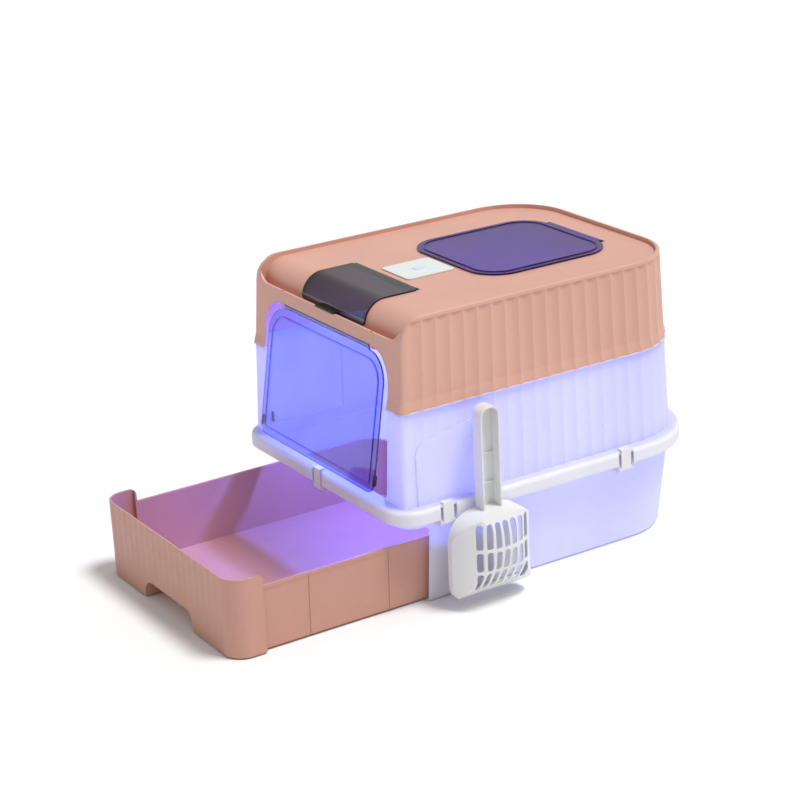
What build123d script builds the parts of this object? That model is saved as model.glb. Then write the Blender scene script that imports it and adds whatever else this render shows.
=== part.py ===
from build123d import *
from collections import namedtuple
from math import cos, pi, radians, sin
import os

os.makedirs("parts", exist_ok=True)

# A closed cat litter box: a low tub with an open front, a fluted middle ring with a thick
# rim bead, and a fluted hood with a swing door, a curved window flap, a top lid and a lamp
# unit. A litter drawer slides in the tub, and a slotted scoop hangs on the right side.
# Millimetres. The origin is the middle of the tub's underside, +Z is up, the front faces
# -Y and the scoop is at +X. The drawer is drawn pulled out and the door a little ajar.

# ---- driving dimensions: the stacked mouldings ----
BASE_TOP_WIDTH = 385.0
BASE_TOP_DEPTH = 483.0
BASE_DRAFT_SIDE = 11.5
BASE_DRAFT_END = 14.0
BASE_WIDTH = BASE_TOP_WIDTH - 2 * BASE_DRAFT_SIDE
BASE_DEPTH = BASE_TOP_DEPTH - 2 * BASE_DRAFT_END
BASE_REAR_RADIUS = 90.0
BASE_FRONT_RADIUS = 25.0
BASE_RADIUS_GROWTH = 8.0
BASE_FOOT_FILLET = 5.0
RIM_BOTTOM = 125.0
RIM_HEIGHT = 21.0
RIM_REACH_SIDE = 17.5
RIM_REACH_END = 18.5
RIM_WIDTH = BASE_TOP_WIDTH + 2 * RIM_REACH_SIDE
RIM_DEPTH = BASE_TOP_DEPTH + 2 * RIM_REACH_END
RIM_REAR_RADIUS = 120.0
RIM_FRONT_RADIUS = 40.0
RIM_TOP_FILLET = 7.0
RIM_BOTTOM_FILLET = 2.0
RIM_SKIN = 2.5
RIM_RIB_GAP = 3.0
RING_STEP_SIDE = 1.5
RING_STEP_END = 1.0
RING_WIDTH = BASE_TOP_WIDTH + 2 * RING_STEP_SIDE
RING_DEPTH = BASE_TOP_DEPTH + 2 * RING_STEP_END
RING_REAR_RADIUS = 100.0
RING_FRONT_RADIUS = 5.0
JOINT_Z = 275.0
RING_DRAFT_SIDE = 4.0
RING_DRAFT_END = 5.0
JOINT_WIDTH = RING_WIDTH - 2 * RING_DRAFT_SIDE
JOINT_DEPTH = RING_DEPTH - 2 * RING_DRAFT_END
HOOD_TOP = 398.0
HOOD_DRAFT_SIDE = 5.5
HOOD_DRAFT_END = 7.5
HOOD_TOP_WIDTH = JOINT_WIDTH - 2 * HOOD_DRAFT_SIDE
HOOD_TOP_DEPTH = JOINT_DEPTH - 2 * HOOD_DRAFT_END
HOOD_REAR_RADIUS = 90.0
HOOD_FRONT_RADIUS = 5.0
HOOD_FRONT_CURVE = 37.0
DECK_DROP = 5.5
DECK_THICKNESS = 2.5
DECK_FRONT_CURVE = 31.0
DECK_FRONT_SETBACK = 14.3
GUTTER_DROP = 40.0
LIP_DROP = 32.0
LIP_CORNER = 26.0
LIP_NOTCH_X = 114.0
LIP_NOTCH_WIDTH = 3.0
LIP_NOTCH_DEPTH = 2.0
TOP_RIM_WIDTH = 4.0
TOP_RIM_HEIGHT = 5.5
TOP_RIM_FILLET = 2.6
WALL = 2.5
FLARE = 2.5
FLARE_HEIGHT = 14.0
LIP_HEIGHT = 2.0
UPSTAND_HEIGHT = 8.0
UPSTAND_WALL = 2.0
FIT_GAP = 0.3

# ---- driving dimensions: flutes and the smooth pads that the scoop hangs against ----
FLUTE_PITCH = 21.8
FLUTE_RIDGE = 1.2
FLUTE_DEPTH = 2.2
FLUTE_START = 10.5
PAD_SETBACK = 20.9
PAD_LENGTH = 126.6
PAD_FRONT_TOP = 229.0
PAD_REAR_TOP = 253.0
PAD_RADIUS = 20.0
PAD_PROUD = 0.8
PAD_HOLLOW_EDGE = 4.0

# ---- driving dimensions: doorway and swing door ----
DOORWAY_HALF_LOW = 152.0
DOORWAY_HALF_HIGH = 158.0
DOORWAY_TOP = 349.0
DOORWAY_TOP_RADIUS = 42.0
DOORWAY_SILL_RADIUS = 12.0
DOORWAY_CUT_DEPTH = 70.0
DOOR_HALF_WIDTH = 148.0
DOOR_LENGTH = 190.0
DOOR_THICKNESS = 2.4
DOOR_TOP_GAP = 5.5
DOOR_TOP_RADIUS = 40.0
DOOR_BOTTOM_RADIUS = 15.0
DOOR_TAB_HALF = 108.0
DOOR_AJAR = 9.4
DOOR_RIDGE_INSET = 10.0
DOOR_RIDGE_WIDTH = 2.2
DOOR_RIDGE_PROUD = 1.3
DOOR_ROD_RADIUS = 2.0
DOOR_ROD_SHORT = 1.2
DOOR_KNUCKLE_RADIUS = 4.2
DOOR_LUG_RADIUS = 3.8
DOOR_LUG_WIDTH = 6.0
DOOR_LUG_GAP = 2.5
DOOR_AXIS_SETBACK = 5.2
DOOR_AXIS_DROP = 4.0
DOOR_FACE_OFFSET = 3.0
MAGNET_HEIGHT = 14.0
MAGNET_WIDTH = 4.0
MAGNET_THICKNESS = 2.6
MAGNET_DROP = 172.0
MAGNET_INSET = 0.5
FRAME_MAGNET_REACH = 3.5

# ---- driving dimensions: hinges with a thin rod, used by the window and the lid ----
ROD_RADIUS = 1.2
ROD_GAP = 0.05
ROD_SINK = 2.3
ROD_SHORT = 0.7
FLAP_LIFT = 0.3
BOSS_WIDTH = 6.0
BOSS_DEPTH = 3.6
BARREL_GAP = 0.4

# ---- driving dimensions: curved front window ----
WINDOW_HALF = 80.0
WINDOW_OPENING_HALF = 77.0
WINDOW_LENGTH = 52.4
WINDOW_THICKNESS = 2.0
WINDOW_CORNER = 9.0
WINDOW_FOOT = 2.0
WINDOW_SEAT = 4.0
WINDOW_TAB_HALF = 23.0
WINDOW_TAB_LIFT = 0.6
WINDOW_TAB_OVERHANG = 1.0

# ---- driving dimensions: top lid ----
LID_HALF = 103.0
LID_TO_LAMP = 44.0
LID_TO_REAR = 54.0
LID_RADIUS = 47.0
LID_THICKNESS = 2.5
LID_OVERLAP = 9.0
LID_TONGUE_HALF = 61.0
LID_AXIS_REACH = 5.0
LID_SLOT_REAR = 0.8
LID_RIDGE_INSET = 8.0
LID_RIDGE_WIDTH = 2.0
LID_RIDGE_PROUD = 1.2

# ---- driving dimensions: lamp unit ----
LAMP_TO_WINDOW = 51.6
LAMP_WIDTH = 69.0
LAMP_LENGTH = 76.0
LAMP_CORNER = 6.0
LAMP_COVER = 1.6
LAMP_BODY_INSET = 3.5
LAMP_BODY_HEIGHT = 20.0
LAMP_BODY_WALL = 1.8
LAMP_OPENING_GAP = 0.7
LAMP_LENS_WIDTH = 44.0
LAMP_LENS_LENGTH = 56.0
LAMP_LENS_THICKNESS = 1.6
LAMP_LENS_SEAT = 3.0
LAMP_POST_RADIUS = 2.6
LAMP_POST_X = 26.0
LAMP_POST_Y = 29.5
LAMP_BOARD_THICKNESS = 1.6
LAMP_BOARD_HEIGHT = 8.0
LAMP_BOARD_MARGIN = 2.2
LAMP_LED_SIZE = 3.6
LAMP_LED_HEIGHT = 1.4
LAMP_LED_PITCH = 12.0
LAMP_LED_COLUMNS = 3
LAMP_LED_ROWS = 4
LAMP_BATTERY_SIZE = (40.0, 17.0, 5.5)
LAMP_BATTERY_Y = 14.5
LAMP_BATTERY_ROUND = 2.0
LAMP_SCREW_RADIUS = 1.0
LAMP_SCREW_GAP = 0.1
LAMP_SCREW_BITE = 0.02
LAMP_SCREW_HEAD = 2.0
LAMP_SCREW_HEAD_HEIGHT = 1.2
BUTTON_RADIUS = 8.0
BUTTON_PROUD = 0.5
BUTTON_GAP = 0.4
BUTTON_TRAVEL = 0.8
BUTTON_FLANGE = 1.4
BUTTON_STEM_RADIUS = 2.0
BUTTON_ROUND = 0.6
SWITCH_SIZE = 6.0
SWITCH_HEIGHT = 3.4
SOCKET_SIZE = (9.0, 7.4, 3.2)

# ---- driving dimensions: litter drawer ----
DRAWER_OUT = 244.0
DRAWER_PANEL_SETBACK = 8.0
DRAWER_PANEL_HEIGHT = 108.0
DRAWER_PANEL_WALL = 3.0
DRAWER_PANEL_DRAFT = 1.0
DRAWER_RETURN = 48.0
DRAWER_RETURN_ROUND = 7.0
DRAWER_FRONT_RADIUS = 28.0
DRAWER_REAR_RADIUS = 32.0
DRAWER_TRAY_INSET = 5.0
DRAWER_TRAY_TAPER = 4.0
DRAWER_TO_BACK = 15.0
DRAWER_TRAY_TOP = 93.0
DRAWER_TRAY_RIM = 0.8
DRAWER_TRAY_RIM_HEIGHT = 5.0
DRAWER_FLOOR_GAP = 0.5
DRAWER_FLOOR = 3.0
DRAWER_WALL = 2.8
DRAWER_GRIP_HALF = 68.0
DRAWER_GRIP_TOP = 28.0
DRAWER_GRIP_DEPTH = 27.0
DRAWER_GRIP_RADIUS = 20.0
DRAWER_PANEL_BOTTOM = 2.0
DRAWER_FLUTES = 18
DRAWER_FLUTE_DEPTH = 0.7
DRAWER_GROOVES = (116.0, 236.0)
DRAWER_GROOVE_WIDTH = 1.4
DRAWER_GROOVE_DEPTH = 0.7
SIDE_WALL_SETBACK = 38.5
LINTEL_BOTTOM = 113.0
LINTEL_CORNER = 10.0

# ---- driving dimensions: rim latches ----
LATCH_FROM_FRONT = 75.0
LATCH_FROM_REAR = 155.0
LATCH_AXIS_INSET = 3.5
LATCH_AXIS_DROP = 4.8
LATCH_BARREL_RADIUS = 3.2
LATCH_PIN_RADIUS = 1.5
LATCH_PIN_GAP = 0.05
LATCH_HALF_WIDTH = 8.0
LATCH_BARREL_HALF = 10.2
LATCH_LUG_WIDTH = 2.2
LATCH_LUG_DROP = 4.0
LATCH_SIDE_GAP = 0.4
LATCH_PLATE = 2.2
LATCH_PLATE_INSET = 0.3
LATCH_HOOK_REACH = 9.0
LATCH_HOOK_HEIGHT = 2.0

# ---- driving dimensions: scoop and its hook ----
SCOOP_STANDOFF = 3.0
SCOOP_FROM_PAD = 90.6
SCOOP_PAN_WIDTH = 122.0
SCOOP_PAN_TOP = 132.0
SCOOP_PAN_BOTTOM = 9.0
SCOOP_PAN_BULGE = 50.0
SCOOP_BULGE_Z = 86.0
SCOOP_SHOULDER = 40.0
SCOOP_CROWN = 66.0
SCOOP_TOP_RADIUS = 42.0
SCOOP_BOTTOM_RADIUS = 22.0
SCOOP_WALL = 2.2
SCOOP_SLOT_WIDTH = 8.2
SCOOP_SLOT_PITCH = 12.0
SCOOP_SLOT_COLUMNS = 7
SCOOP_SLOT_ROWS = ((88.0, 124.0), (57.5, 84.5), (28.0, 54.0))
SCOOP_SLOT_DEPTH = 42.0
HANDLE_WIDTH = 29.5
HANDLE_DEPTH = 19.0
HANDLE_TOP = 273.0
HANDLE_ROUND = 13.0
HANDLE_WALL = 2.4
HANDLE_OVERLAP = 8.0
HANDLE_RIBS = (164.0, 205.0)
HANDLE_RIB_THICKNESS = 1.6
HANDLE_RIB_HEIGHT = 4.0
LOOP_BOTTOM = 240.5
LOOP_HEIGHT = 15.0
LOOP_REACH = 10.0
LOOP_WALL = 2.5
LOOP_HALF = 9.0
LOOP_SHIFT = 3.0
HOOK_WIDTH = 12.0
HOOK_ARM = 4.0
HOOK_TONGUE = 3.0
HOOK_TONGUE_HEIGHT = 15.0
HOOK_TONGUE_GAP = 1.6
HOOK_BASE_WIDTH = 19.0
HOOK_BASE_HEIGHT = 34.0
HOOK_BASE_RISE = 12.0
HOOK_BASE_THICKNESS = 3.0
HOOK_BASE_SHIFT = 8.5
HOOK_BASE_ROUND = 4.0

BIG = 600.0

Section = namedtuple("Section", "width depth rear_radius front_radius z")


# ---- outlines ----
def between(low, high, z):
    """The section of a tapered moulding at height z."""
    share = (z - low.z) / (high.z - low.z)
    return Section(*(a + (b - a) * share for a, b in zip(low, high)))


def grown(section, by):
    """A section with its outline moved outwards, or inwards if by is negative."""
    return Section(
        section.width + 2 * by,
        section.depth + 2 * by,
        max(section.rear_radius + by, 1.0),
        max(section.front_radius + by, 1.0),
        section.z,
    )


def at_height(section, z):
    return section._replace(z=z)


def corner_arc(center, radius, start_degrees, end_degrees, z):
    """An arc in a horizontal plane, from one angle to another."""
    middle = (start_degrees + end_degrees) / 2
    points = [
        (center[0] + radius * cos(radians(a)), center[1] + radius * sin(radians(a)), z)
        for a in (start_degrees, middle, end_degrees)
    ]
    return Edge.make_three_point_arc(*points)


def path_point(section, distance):
    """A point and its outward normal on the fluted path, from the front of the right side
    round the rear corner to the middle of the back."""
    half = section.width / 2
    rear = section.depth / 2
    radius = section.rear_radius
    start = FLUTE_START - rear
    straight = rear - radius - start
    bend = radius * pi / 2
    if distance <= straight:
        return (half, start + distance), (1.0, 0.0)
    if distance <= straight + bend:
        angle = (distance - straight) / radius
        normal = (cos(angle), sin(angle))
        return (half - radius + radius * normal[0], rear - radius + radius * normal[1]), normal
    return (half - radius - (distance - straight - bend), rear), (0.0, 1.0)


def path_length(section):
    radius = section.rear_radius
    straight = section.depth - radius - FLUTE_START
    return straight + radius * pi / 2 + section.width / 2 - radius


def flute_count():
    """Flutes on each half of the ring and the hood, which line up at the joint."""
    return round(path_length(JOINT) / FLUTE_PITCH)


def fluted_rear_edges(section, bulge):
    """The outline behind the front corners as flutes with sharp ridges or valleys, round the
    right half and then the left half. A negative bulge makes them concave."""
    half = section.width / 2
    front = section.front_radius - section.depth / 2
    start = FLUTE_START - section.depth / 2
    z = section.z
    count = flute_count()
    step = path_length(section) / count
    right = [Edge.make_line((half, front, z), (half, start, z))]
    left = [Edge.make_line((-half, start, z), (-half, front, z))]
    for i in range(count):
        (x0, y0), _ = path_point(section, i * step)
        (xm, ym), (nx, ny) = path_point(section, (i + 0.5) * step)
        (x1, y1), _ = path_point(section, (i + 1) * step)
        xm += nx * bulge
        ym += ny * bulge
        right.append(Edge.make_three_point_arc((x0, y0, z), (xm, ym, z), (x1, y1, z)))
        left.append(Edge.make_three_point_arc((-x1, y1, z), (-xm, ym, z), (-x0, y0, z)))
    return right + left[::-1]


def plain_rear_edges(section):
    half = section.width / 2
    front = section.front_radius - section.depth / 2
    rear = section.depth / 2
    radius = section.rear_radius
    z = section.z
    side_end = rear - radius
    return [
        Edge.make_line((half, front, z), (half, side_end, z)),
        corner_arc((half - radius, side_end), radius, 0, 90, z),
        Edge.make_line((half - radius, rear, z), (radius - half, rear, z)),
        corner_arc((radius - half, side_end), radius, 90, 180, z),
        Edge.make_line((-half, side_end, z), (-half, front, z)),
    ]


def outline(section, bulge=0.0):
    """The closed plan outline of a moulding, plain or fluted."""
    half = section.width / 2
    front = -section.depth / 2
    radius = section.front_radius
    z = section.z
    rear = fluted_rear_edges(section, bulge) if bulge else plain_rear_edges(section)
    edges = [
        Edge.make_line((radius - half, front, z), (half - radius, front, z)),
        corner_arc((half - radius, front + radius), radius, -90, 0, z),
        *rear,
        corner_arc((radius - half, front + radius), radius, 180, 270, z),
    ]
    return Wire(edges)


def tapered(low, high, bulge=0.0):
    """A solid between two sections, with straight lines up its sides."""
    return Solid.make_loft([outline(low, bulge), outline(high, bulge)], True)


def upright(section, z0, z1):
    """A solid of one plan outline between two heights."""
    return tapered(at_height(section, z0), at_height(section, z1))


def block(x0, x1, y0, y1, z0, z1):
    """A box from its limits along X, Y and Z."""
    return Pos((x0 + x1) / 2, (y0 + y1) / 2, (z0 + z1) / 2) * Box(x1 - x0, y1 - y0, z1 - z0)


def rounded_block(x0, x1, y0, y1, z0, z1, radius):
    """A box with rounded upright edges."""
    box = block(x0, x1, y0, y1, z0, z1)
    return fillet(box.edges().filter_by(Axis.Z), radius)


def rod_x(radius, x0, x1, y, z):
    """A round bar along X."""
    return Pos((x0 + x1) / 2, y, z) * Rot(0, 90, 0) * Cylinder(radius, x1 - x0)


def rod_y(radius, x, y0, y1, z):
    """A round bar along Y."""
    return Pos(x, (y0 + y1) / 2, z) * Rot(90, 0, 0) * Cylinder(radius, y1 - y0)


def rod_z(radius, x, y, z0, z1):
    """A round bar along Z."""
    return Pos(x, y, (z0 + z1) / 2) * Cylinder(radius, z1 - z0)


def both_sides(solid):
    """A solid with its mirror image across the middle plane."""
    return solid + mirror(solid, Plane.YZ)


def save(node, solid):
    solid.label = node
    export_step(solid, f"parts/{node}.step")


# ---- sections of the stacked mouldings ----
RIM_TOP = RIM_BOTTOM + RIM_HEIGHT
FLANGE = 2.5
FLANGE_BOTTOM = RIM_BOTTOM + 0.5
FLANGE_TOP = FLANGE_BOTTOM + FLANGE
BASE_LOW = Section(BASE_WIDTH, BASE_DEPTH, BASE_REAR_RADIUS, BASE_FRONT_RADIUS, 0.0)
BASE_HIGH = Section(
    BASE_TOP_WIDTH,
    BASE_TOP_DEPTH,
    BASE_REAR_RADIUS + BASE_RADIUS_GROWTH,
    BASE_FRONT_RADIUS,
    FLANGE_TOP,
)
RIM = Section(RIM_WIDTH, RIM_DEPTH, RIM_REAR_RADIUS, RIM_FRONT_RADIUS, RIM_BOTTOM)
RING_LOW = Section(RING_WIDTH, RING_DEPTH, RING_REAR_RADIUS, RING_FRONT_RADIUS, FLANGE_TOP)
JOINT = Section(JOINT_WIDTH, JOINT_DEPTH, RING_REAR_RADIUS, RING_FRONT_RADIUS, JOINT_Z)
HOOD_LOW = JOINT
HOOD_HIGH = Section(HOOD_TOP_WIDTH, HOOD_TOP_DEPTH, HOOD_REAR_RADIUS, HOOD_FRONT_RADIUS, HOOD_TOP)
DECK_Z = HOOD_TOP - DECK_DROP
DECK_UNDER = DECK_Z - DECK_THICKNESS
GUTTER_Z = HOOD_TOP - GUTTER_DROP
LIP_TOP = HOOD_TOP - LIP_DROP
TUB_INNER_FLOOR = 2.5
PAD_FRONT_Y = PAD_SETBACK - RING_DEPTH / 2


def hood_at(z):
    return between(HOOD_LOW, HOOD_HIGH, z)


def ring_at(z):
    return between(RING_LOW, JOINT, z)


def base_at(z):
    return between(BASE_LOW, BASE_HIGH, z)


# ---- the hood's front curve, seen from the side ----
CURVE_Z = HOOD_TOP - HOOD_FRONT_CURVE
CURVE_Y = HOOD_FRONT_CURVE - hood_at(CURVE_Z).depth / 2
DECK_CURVE_Z = DECK_Z - DECK_FRONT_CURVE
DECK_FRONT_Y = DECK_FRONT_SETBACK - hood_at(DECK_CURVE_Z).depth / 2
DECK_CURVE_Y = DECK_FRONT_Y + DECK_FRONT_CURVE


def under_curve(top, curve_y, radius, foot_y, foot_z):
    """The solid below a flat top and a front curve. Below the curve its face runs on to a
    foot point."""
    curve_z = top - radius
    bend = radians(45)
    profile = Wire(
        [
            Edge.make_line((0, BIG, foot_z), (0, BIG, top)),
            Edge.make_line((0, BIG, top), (0, curve_y, top)),
            Edge.make_three_point_arc(
                (0, curve_y, top),
                (0, curve_y - radius * sin(bend), curve_z + radius * cos(bend)),
                (0, curve_y - radius, curve_z),
            ),
            Edge.make_line((0, curve_y - radius, curve_z), (0, foot_y, foot_z)),
            Edge.make_line((0, foot_y, foot_z), (0, BIG, foot_z)),
        ]
    )
    half = Solid.extrude(Face(profile), Vector(BIG, 0, 0))
    return Pos(-BIG / 2, 0, 0) * half


def deck_solid(lift):
    """The solid below a surface parallel to the deck, raised by lift."""
    radius = DECK_FRONT_CURVE + lift
    return under_curve(DECK_Z + lift, DECK_CURVE_Y, radius, DECK_CURVE_Y - radius, JOINT_Z)


# ---- hinge places on the deck ----
HINGE_Z = DECK_Z - ROD_SINK
DOOR_AXIS_Z = DOORWAY_TOP - DOOR_AXIS_DROP
DOOR_AXIS_Y = DOOR_AXIS_SETBACK - hood_at(DOOR_AXIS_Z).depth / 2
WINDOW_BARREL = DECK_Z + FLAP_LIFT + WINDOW_THICKNESS - HINGE_Z
LID_BARREL = DECK_Z + FLAP_LIFT + LID_THICKNESS - HINGE_Z
WINDOW_AXIS_Y = DECK_CURVE_Y + WINDOW_LENGTH
LAMP_Y = WINDOW_AXIS_Y + LAMP_TO_WINDOW
LID_FRONT_Y = LAMP_Y + LID_TO_LAMP
LID_REAR_Y = HOOD_TOP_DEPTH / 2 - LID_TO_REAR
LID_AXIS_Y = LID_REAR_Y + LID_AXIS_REACH


def arch(half, top, radius, bottom, y0, y1):
    """A block along Y with rounded top corners, seen from the front."""
    box = block(-half, half, y0, y1, bottom, top)
    edges = box.edges().filter_by(Axis.Y).group_by(Axis.Z)[-1]
    return fillet(edges, radius)


def doorway_cut():
    """The doorway through the front of the ring and the hood: it widens up to the joint and
    is arched above it."""
    front = -RIM_DEPTH / 2
    back = front + DOORWAY_CUT_DEPTH
    low = DOORWAY_HALF_LOW
    high = DOORWAY_HALF_HIGH
    corners = ((-low, RIM_TOP), (low, RIM_TOP), (high, JOINT_Z), (-high, JOINT_Z))
    face = Plane.XZ * Polygon(*corners, align=None)
    lower = Pos(0, back, 0) * extrude(face, back - front)
    sill = lower.edges().filter_by(Axis.Y).group_by(Axis.Z)[0]
    lower = fillet(sill, DOORWAY_SILL_RADIUS)
    upper = arch(high, DOORWAY_TOP, DOORWAY_TOP_RADIUS, JOINT_Z, front, back)
    return lower + upper


# ---- base tub ----
def latch_places():
    """Each rim latch: its name, the middle of its seat on the bead and its turn about Z."""
    side = RIM_WIDTH / 2
    end = RIM_DEPTH / 2
    front_y = LATCH_FROM_FRONT - end
    rear_y = end - LATCH_FROM_REAR
    return [
        ("latch_right_front", Pos(side, front_y, 0) * Rot(0, 0, 0)),
        ("latch_right_rear", Pos(side, rear_y, 0) * Rot(0, 0, 0)),
        ("latch_left_front", Pos(-side, front_y, 0) * Rot(0, 0, 180)),
        ("latch_left_rear", Pos(-side, rear_y, 0) * Rot(0, 0, 180)),
        ("latch_front", Pos(0, -end, 0) * Rot(0, 0, -90)),
        ("latch_rear", Pos(0, end, 0) * Rot(0, 0, 90)),
    ]


LATCH_AXIS_Z = RIM_BOTTOM - LATCH_AXIS_DROP
LATCH_LUG_INNER = LATCH_BARREL_HALF + LATCH_SIDE_GAP
LATCH_LUG_OUTER = LATCH_LUG_INNER + LATCH_LUG_WIDTH


def latch_lugs():
    """Two ears that carry a latch, drawn at the bead's outer face with +X outwards."""
    reach = RIM_REACH_END + WALL / 2
    lug_bottom = LATCH_AXIS_Z - LATCH_LUG_DROP
    ear = block(-reach, -0.5, LATCH_LUG_INNER, LATCH_LUG_OUTER, lug_bottom, RIM_BOTTOM - 0.2)
    bore = rod_y(
        LATCH_PIN_RADIUS + LATCH_PIN_GAP,
        -LATCH_AXIS_INSET,
        LATCH_LUG_INNER - 1.0,
        LATCH_LUG_OUTER + 1.0,
        LATCH_AXIS_Z,
    )
    ear -= bore
    return ear + mirror(ear, Plane.XZ)


def make_base_tub():
    tub = tapered(BASE_LOW, BASE_HIGH)
    foot = tub.faces().sort_by(Axis.Z)[0].edges()
    tub = fillet(foot, BASE_FOOT_FILLET)
    tongue = grown(RIM, -2 * RIM_SKIN)
    tub += upright(tongue, FLANGE_BOTTOM, FLANGE_TOP)
    rib = upright(tongue, FLANGE_BOTTOM, RIM_TOP - 2 * RIM_SKIN - RIM_RIB_GAP)
    rib -= upright(grown(tongue, -RIM_SKIN), FLANGE_BOTTOM - 1.0, RIM_TOP)
    tub += rib
    inside = tapered(
        at_height(grown(base_at(TUB_INNER_FLOOR), -WALL), TUB_INNER_FLOOR),
        at_height(grown(BASE_HIGH, -WALL), FLANGE_TOP + 1.0),
    )
    tub -= inside
    wall_front = SIDE_WALL_SETBACK - BASE_TOP_DEPTH / 2
    mouth = block(-BIG / 2, BIG / 2, -BIG / 2, wall_front, -1.0, LINTEL_BOTTOM)
    rear_edges = mouth.edges().filter_by(Axis.X).group_by(Axis.Y)[-1]
    mouth = fillet(rear_edges.sort_by(Axis.Z)[-1], LINTEL_CORNER)
    tub -= mouth
    for _, place in latch_places():
        tub += place * latch_lugs()
    return tub


# ---- middle ring ----
def latch_notch():
    """The gap in the bead's outer skin that a latch lies in."""
    width = LATCH_LUG_OUTER
    return block(-RIM_SKIN - 0.4, 1.0, -width, width, RIM_BOTTOM - 1.0, RIM_TOP + 1.0)


def make_bead():
    bead = upright(RIM, RIM_BOTTOM, RIM_TOP)
    top = bead.faces().sort_by(Axis.Z)[-1].edges()
    bead = fillet(top, RIM_TOP_FILLET)
    bottom = bead.faces().sort_by(Axis.Z)[0].edges()
    bead = fillet(bottom, RIM_BOTTOM_FILLET)
    channel = upright(grown(RIM, -RIM_SKIN), RIM_BOTTOM - 1.0, RIM_TOP - 2 * RIM_SKIN)
    channel -= upright(RING_LOW, RIM_BOTTOM - 2.0, RIM_TOP)
    bead -= channel
    bead -= upright(RING_LOW, RIM_BOTTOM - 1.0, FLANGE_TOP)
    return bead


def pad_outline(inset, x0, x1):
    """The pad's shape seen from the side, moved in from its edge, as a block along X."""
    front = PAD_FRONT_Y + inset
    rear = PAD_FRONT_Y + PAD_LENGTH - inset
    bottom = RIM_TOP - 2.0
    corners = (
        (front, bottom),
        (rear, bottom),
        (rear, PAD_REAR_TOP - inset),
        (front, PAD_FRONT_TOP - inset),
    )
    face = Plane.YZ * Polygon(*corners, align=None)
    solid = Pos(x0, 0, 0) * extrude(face, x1 - x0)
    top = solid.edges().filter_by(Axis.X).sort_by(Axis.Z)[-2:]
    return fillet(top, PAD_RADIUS - inset)


def make_pads():
    """Smooth pads on both sides, a little proud of the flutes."""
    low = grown(RING_LOW, FLUTE_RIDGE + PAD_PROUD)
    high = grown(JOINT, FLUTE_RIDGE + PAD_PROUD)
    return pad_outline(0.0, -BIG / 2, BIG / 2) & tapered(low, high)


def pad_hollows():
    """What is taken out behind the pads, so that their wall is as thin as the rest."""
    inset = FLUTE_RIDGE + PAD_PROUD - WALL
    shape = tapered(grown(RING_LOW, inset), grown(JOINT, inset))
    return pad_outline(PAD_HOLLOW_EDGE, -BIG / 2, BIG / 2) & shape


def fluted(low, high):
    """A tapered moulding with shallow concave flutes between sharp ridges."""
    return tapered(grown(low, FLUTE_RIDGE), grown(high, FLUTE_RIDGE), -FLUTE_DEPTH)


def make_middle_ring():
    lip_bottom = JOINT_Z - LIP_HEIGHT
    ring = fluted(RING_LOW, JOINT)
    ring += make_bead()
    ring += make_pads()
    ring += upright(grown(JOINT, FLARE + FLUTE_RIDGE), lip_bottom, JOINT_Z)
    inset = WALL + FIT_GAP
    upstand_low = grown(hood_at(lip_bottom), -inset)
    upstand_high = grown(hood_at(JOINT_Z + UPSTAND_HEIGHT), -inset)
    ring -= tapered(
        grown(ring_at(RIM_BOTTOM - 1.0), -WALL), grown(ring_at(lip_bottom - LIP_HEIGHT), -WALL)
    )
    ring -= pad_hollows()
    ring += tapered(upstand_low, upstand_high)
    ring -= tapered(
        at_height(grown(upstand_low, -UPSTAND_WALL), lip_bottom - 2 * LIP_HEIGHT),
        at_height(grown(upstand_high, -UPSTAND_WALL), JOINT_Z + UPSTAND_HEIGHT + 1.0),
    )
    ring -= doorway_cut()
    for _, place in latch_places():
        ring -= place * latch_notch()
    return ring


# ---- hood ----
def hood_recess():
    """The shallow recess of the deck inside the raised top rim. A gutter separates the front
    curve from the lip, which rounds up into the side rims."""
    low = at_height(grown(hood_at(GUTTER_Z), -TOP_RIM_WIDTH), GUTTER_Z)
    high = grown(HOOD_HIGH, -TOP_RIM_WIDTH)
    inside = tapered(low, at_height(high, HOOD_TOP + 0.01))
    half = high.width / 2
    front = block(-half, half, -BIG / 2, CURVE_Y, LIP_TOP, HOOD_TOP + 1.0)
    front = fillet(front.edges().filter_by(Axis.Y).group_by(Axis.Z)[0], LIP_CORNER)
    return (inside + front) - deck_solid(0.0)


def lip_notches():
    x0 = LIP_NOTCH_X - LIP_NOTCH_WIDTH / 2
    x1 = LIP_NOTCH_X + LIP_NOTCH_WIDTH / 2
    front = -JOINT_DEPTH / 2
    bottom = LIP_TOP - LIP_NOTCH_DEPTH
    return both_sides(block(x0, x1, front, DECK_FRONT_Y - 4.0, bottom, LIP_TOP + 1.0))


def hood_cavity():
    inner = tapered(
        at_height(grown(HOOD_LOW, -WALL), JOINT_Z - 1.0),
        at_height(grown(HOOD_HIGH, -WALL), HOOD_TOP),
    )
    lip_bottom = GUTTER_Z - WALL
    upper = inner & deck_solid(-DECK_THICKNESS)
    lower = inner & block(-BIG / 2, BIG / 2, -BIG / 2, BIG / 2, 0.0, lip_bottom)
    return upper + lower


def lid_outline(inset, z0, z1):
    """The lid's rounded shape, moved in from its edge."""
    return rounded_block(
        inset - LID_HALF,
        LID_HALF - inset,
        LID_FRONT_Y + inset,
        LID_REAR_Y - inset,
        z0,
        z1,
        LID_RADIUS - inset,
    )


def hinge_bosses(start, y):
    """Ears under the deck, at both sides of an opening, that carry a hinge rod."""
    ear = block(start, start + BOSS_WIDTH, y - BOSS_DEPTH, y + BOSS_DEPTH, HINGE_Z - BOSS_DEPTH, DECK_UNDER)
    return both_sides(ear)


def rod_bores(start, y):
    bore = rod_x(ROD_RADIUS + ROD_GAP, start - 1.0, start + BOSS_WIDTH - 0.5, y, HINGE_Z)
    return both_sides(bore)


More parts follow.
